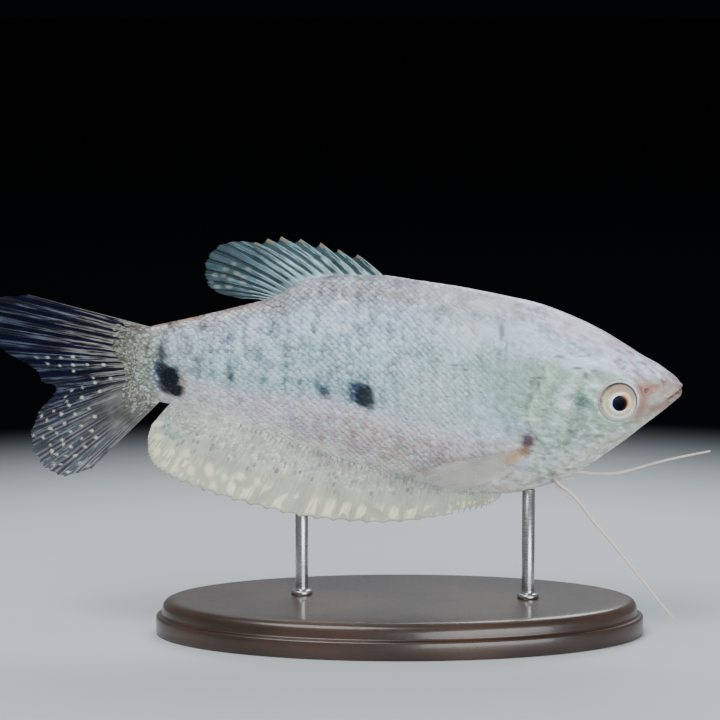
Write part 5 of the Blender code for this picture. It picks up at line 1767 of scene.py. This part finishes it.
def make_lights(stage):
    middle = (0.0, 0.0, 0.045)
    area_light("key", stage.key_power, 0.5, (-0.25, -0.35, 0.75), middle, (1.0, 0.99, 0.97))
    area_light("fill", stage.fill_power, 0.7, (0.40, -0.78, 0.09), middle, (0.95, 0.98, 1.0))
    area_light("rim", stage.rim_power, 0.4, (0.1, 0.55, 0.55), middle, (0.92, 0.96, 1.0))
    world = bpy.context.scene.world or bpy.data.worlds.new("World")
    bpy.context.scene.world = world
    world.use_nodes = True
    world.node_tree.nodes.clear()
    tree = Tree(world.node_tree)
    soft = tree.node("ShaderNodeBackground", _Color=tone(225, 230, 236), _Strength=0.35)
    dark = tree.node("ShaderNodeBackground", _Color=tone(6, 7, 10), _Strength=1.0)
    seen = tree.node("ShaderNodeLightPath", "Is Camera Ray")
    mixed = tree.node("ShaderNodeMixShader", _0=seen, _1=soft, _2=dark)
    tree.node("ShaderNodeOutputWorld", _Surface=mixed)


def make_camera(stage):
    """The photograph's view: level with the fish's flank and looking slightly down."""
    data = bpy.data.cameras.new("camera")
    data.sensor_width = 36.0
    data.lens = 36.0 * stage.distance / stage.view_width
    data.clip_start, data.clip_end = 0.01, 20
    camera = add_object("camera", data)
    back = Vector((0, -math.cos(stage.elevation), math.sin(stage.elevation)))
    camera.location = Vector((stage.target_x, 0, stage.target_z)) + back * stage.distance
    camera.rotation_euler = (-back).to_track_quat("-Z", "Y").to_euler()
    bpy.context.scene.camera = camera


# Operators and panel


class GOURAMI_OT_stage(bpy.types.Operator):
    """Add the floor, the lights and the camera"""

    bl_idname = "gourami.stage"
    bl_label = "Stage"

    def execute(self, context):
        stage = context.scene.gourami_stage
        make_floor()
        make_lights(stage)
        make_camera(stage)
        return {"FINISHED"}


class GOURAMI_OT_skin(bpy.types.Operator):
    """Add the skin over head, trunk, gill covers and tail stem"""

    bl_idname = "gourami.skin"
    bl_label = "Skin"

    def execute(self, context):
        build_groups()
        make_skin()
        return {"FINISHED"}


class GOURAMI_OT_scales(bpy.types.Operator):
    """Add the overlapping scales of both flanks"""

    bl_idname = "gourami.scales"
    bl_label = "Scales"

    def execute(self, context):
        stretches = (("head", 0, 29), ("front", 29, 47), ("middle", 47, 66), ("rear", 66, 99))
        for side, label in ((-1, "right"), (1, "left")):
            for stretch, start, end in stretches:
                name = "scales_" + label + "_" + stretch
                if not make_scales(side, name, start, end):
                    raise RuntimeError(name + " came out empty")
        return {"FINISHED"}


class GOURAMI_OT_eyes(bpy.types.Operator):
    """Add the eyes and the rims round them"""

    bl_idname = "gourami.eyes"
    bl_label = "Eyes"

    def execute(self, context):
        for side, label in ((-1, "right"), (1, "left")):
            make_eye(side, "eyeball_" + label, "eye_" + label)
            make_eye_rim(side, "eye_rim_" + label)
        return {"FINISHED"}


class GOURAMI_OT_fins(bpy.types.Operator):
    """Add the dorsal, anal, tail and pectoral fins"""

    bl_idname = "gourami.fins"
    bl_label = "Fins"

    def execute(self, context):
        make_dorsal_fin()
        make_anal_fin()
        make_tail_fin()
        make_pectoral_fin(-1, "pectoral_fin_right")
        make_pectoral_fin(1, "pectoral_fin_left")
        return {"FINISHED"}


class GOURAMI_OT_feelers(bpy.types.Operator):
    """Add the two thread-like pelvic feelers"""

    bl_idname = "gourami.feelers"
    bl_label = "Feelers"

    def execute(self, context):
        make_feeler(-1, "pelvic_feeler_right", FEELER_RIGHT, FEELER_SHORT_RIGHT)
        make_feeler(1, "pelvic_feeler_left", FEELER_LEFT, FEELER_SHORT_LEFT)
        return {"FINISHED"}


class GOURAMI_OT_stand(bpy.types.Operator):
    """Finish the display stand's base and rods"""

    bl_idname = "gourami.stand"
    bl_label = "Display Stand"

    def execute(self, context):
        make_stand()
        return {"FINISHED"}


BUILD_ORDER = ("stage", "skin", "scales", "eyes", "fins", "feelers", "stand")


class GOURAMI_PT_panel(bpy.types.Panel):
    """Lists the gourami's settings and its build steps"""

    bl_idname = "GOURAMI_PT_panel"
    bl_label = "Blue Gourami"
    bl_space_type = "VIEW_3D"
    bl_region_type = "UI"
    bl_category = "Gourami"

    def draw(self, context):
        for name in BUILD_ORDER:
            self.layout.operator("gourami." + name)
        scene = context.scene
        for settings in (scene.gourami_sizes, scene.gourami_colours, scene.gourami_stage):
            box = self.layout.box()
            for name in settings.__annotations__:
                box.prop(settings, name)


CLASSES = (
    GouramiColours, GouramiSizes, GouramiStage, GOURAMI_OT_stage, GOURAMI_OT_skin, GOURAMI_OT_scales,
    GOURAMI_OT_eyes, GOURAMI_OT_fins, GOURAMI_OT_feelers, GOURAMI_OT_stand, GOURAMI_PT_panel,
)


def register():
    for cls in CLASSES:
        bpy.utils.register_class(cls)
    bpy.types.Scene.gourami_colours = PointerProperty(type=GouramiColours)
    bpy.types.Scene.gourami_sizes = PointerProperty(type=GouramiSizes)
    bpy.types.Scene.gourami_stage = PointerProperty(type=GouramiStage)


def unregister():
    del bpy.types.Scene.gourami_stage
    del bpy.types.Scene.gourami_sizes
    del bpy.types.Scene.gourami_colours
    for cls in reversed(CLASSES):
        bpy.utils.unregister_class(cls)


def main():
    register()
    for name in BUILD_ORDER:
        getattr(bpy.ops.gourami, name)()


if __name__ == "__main__":
    main()
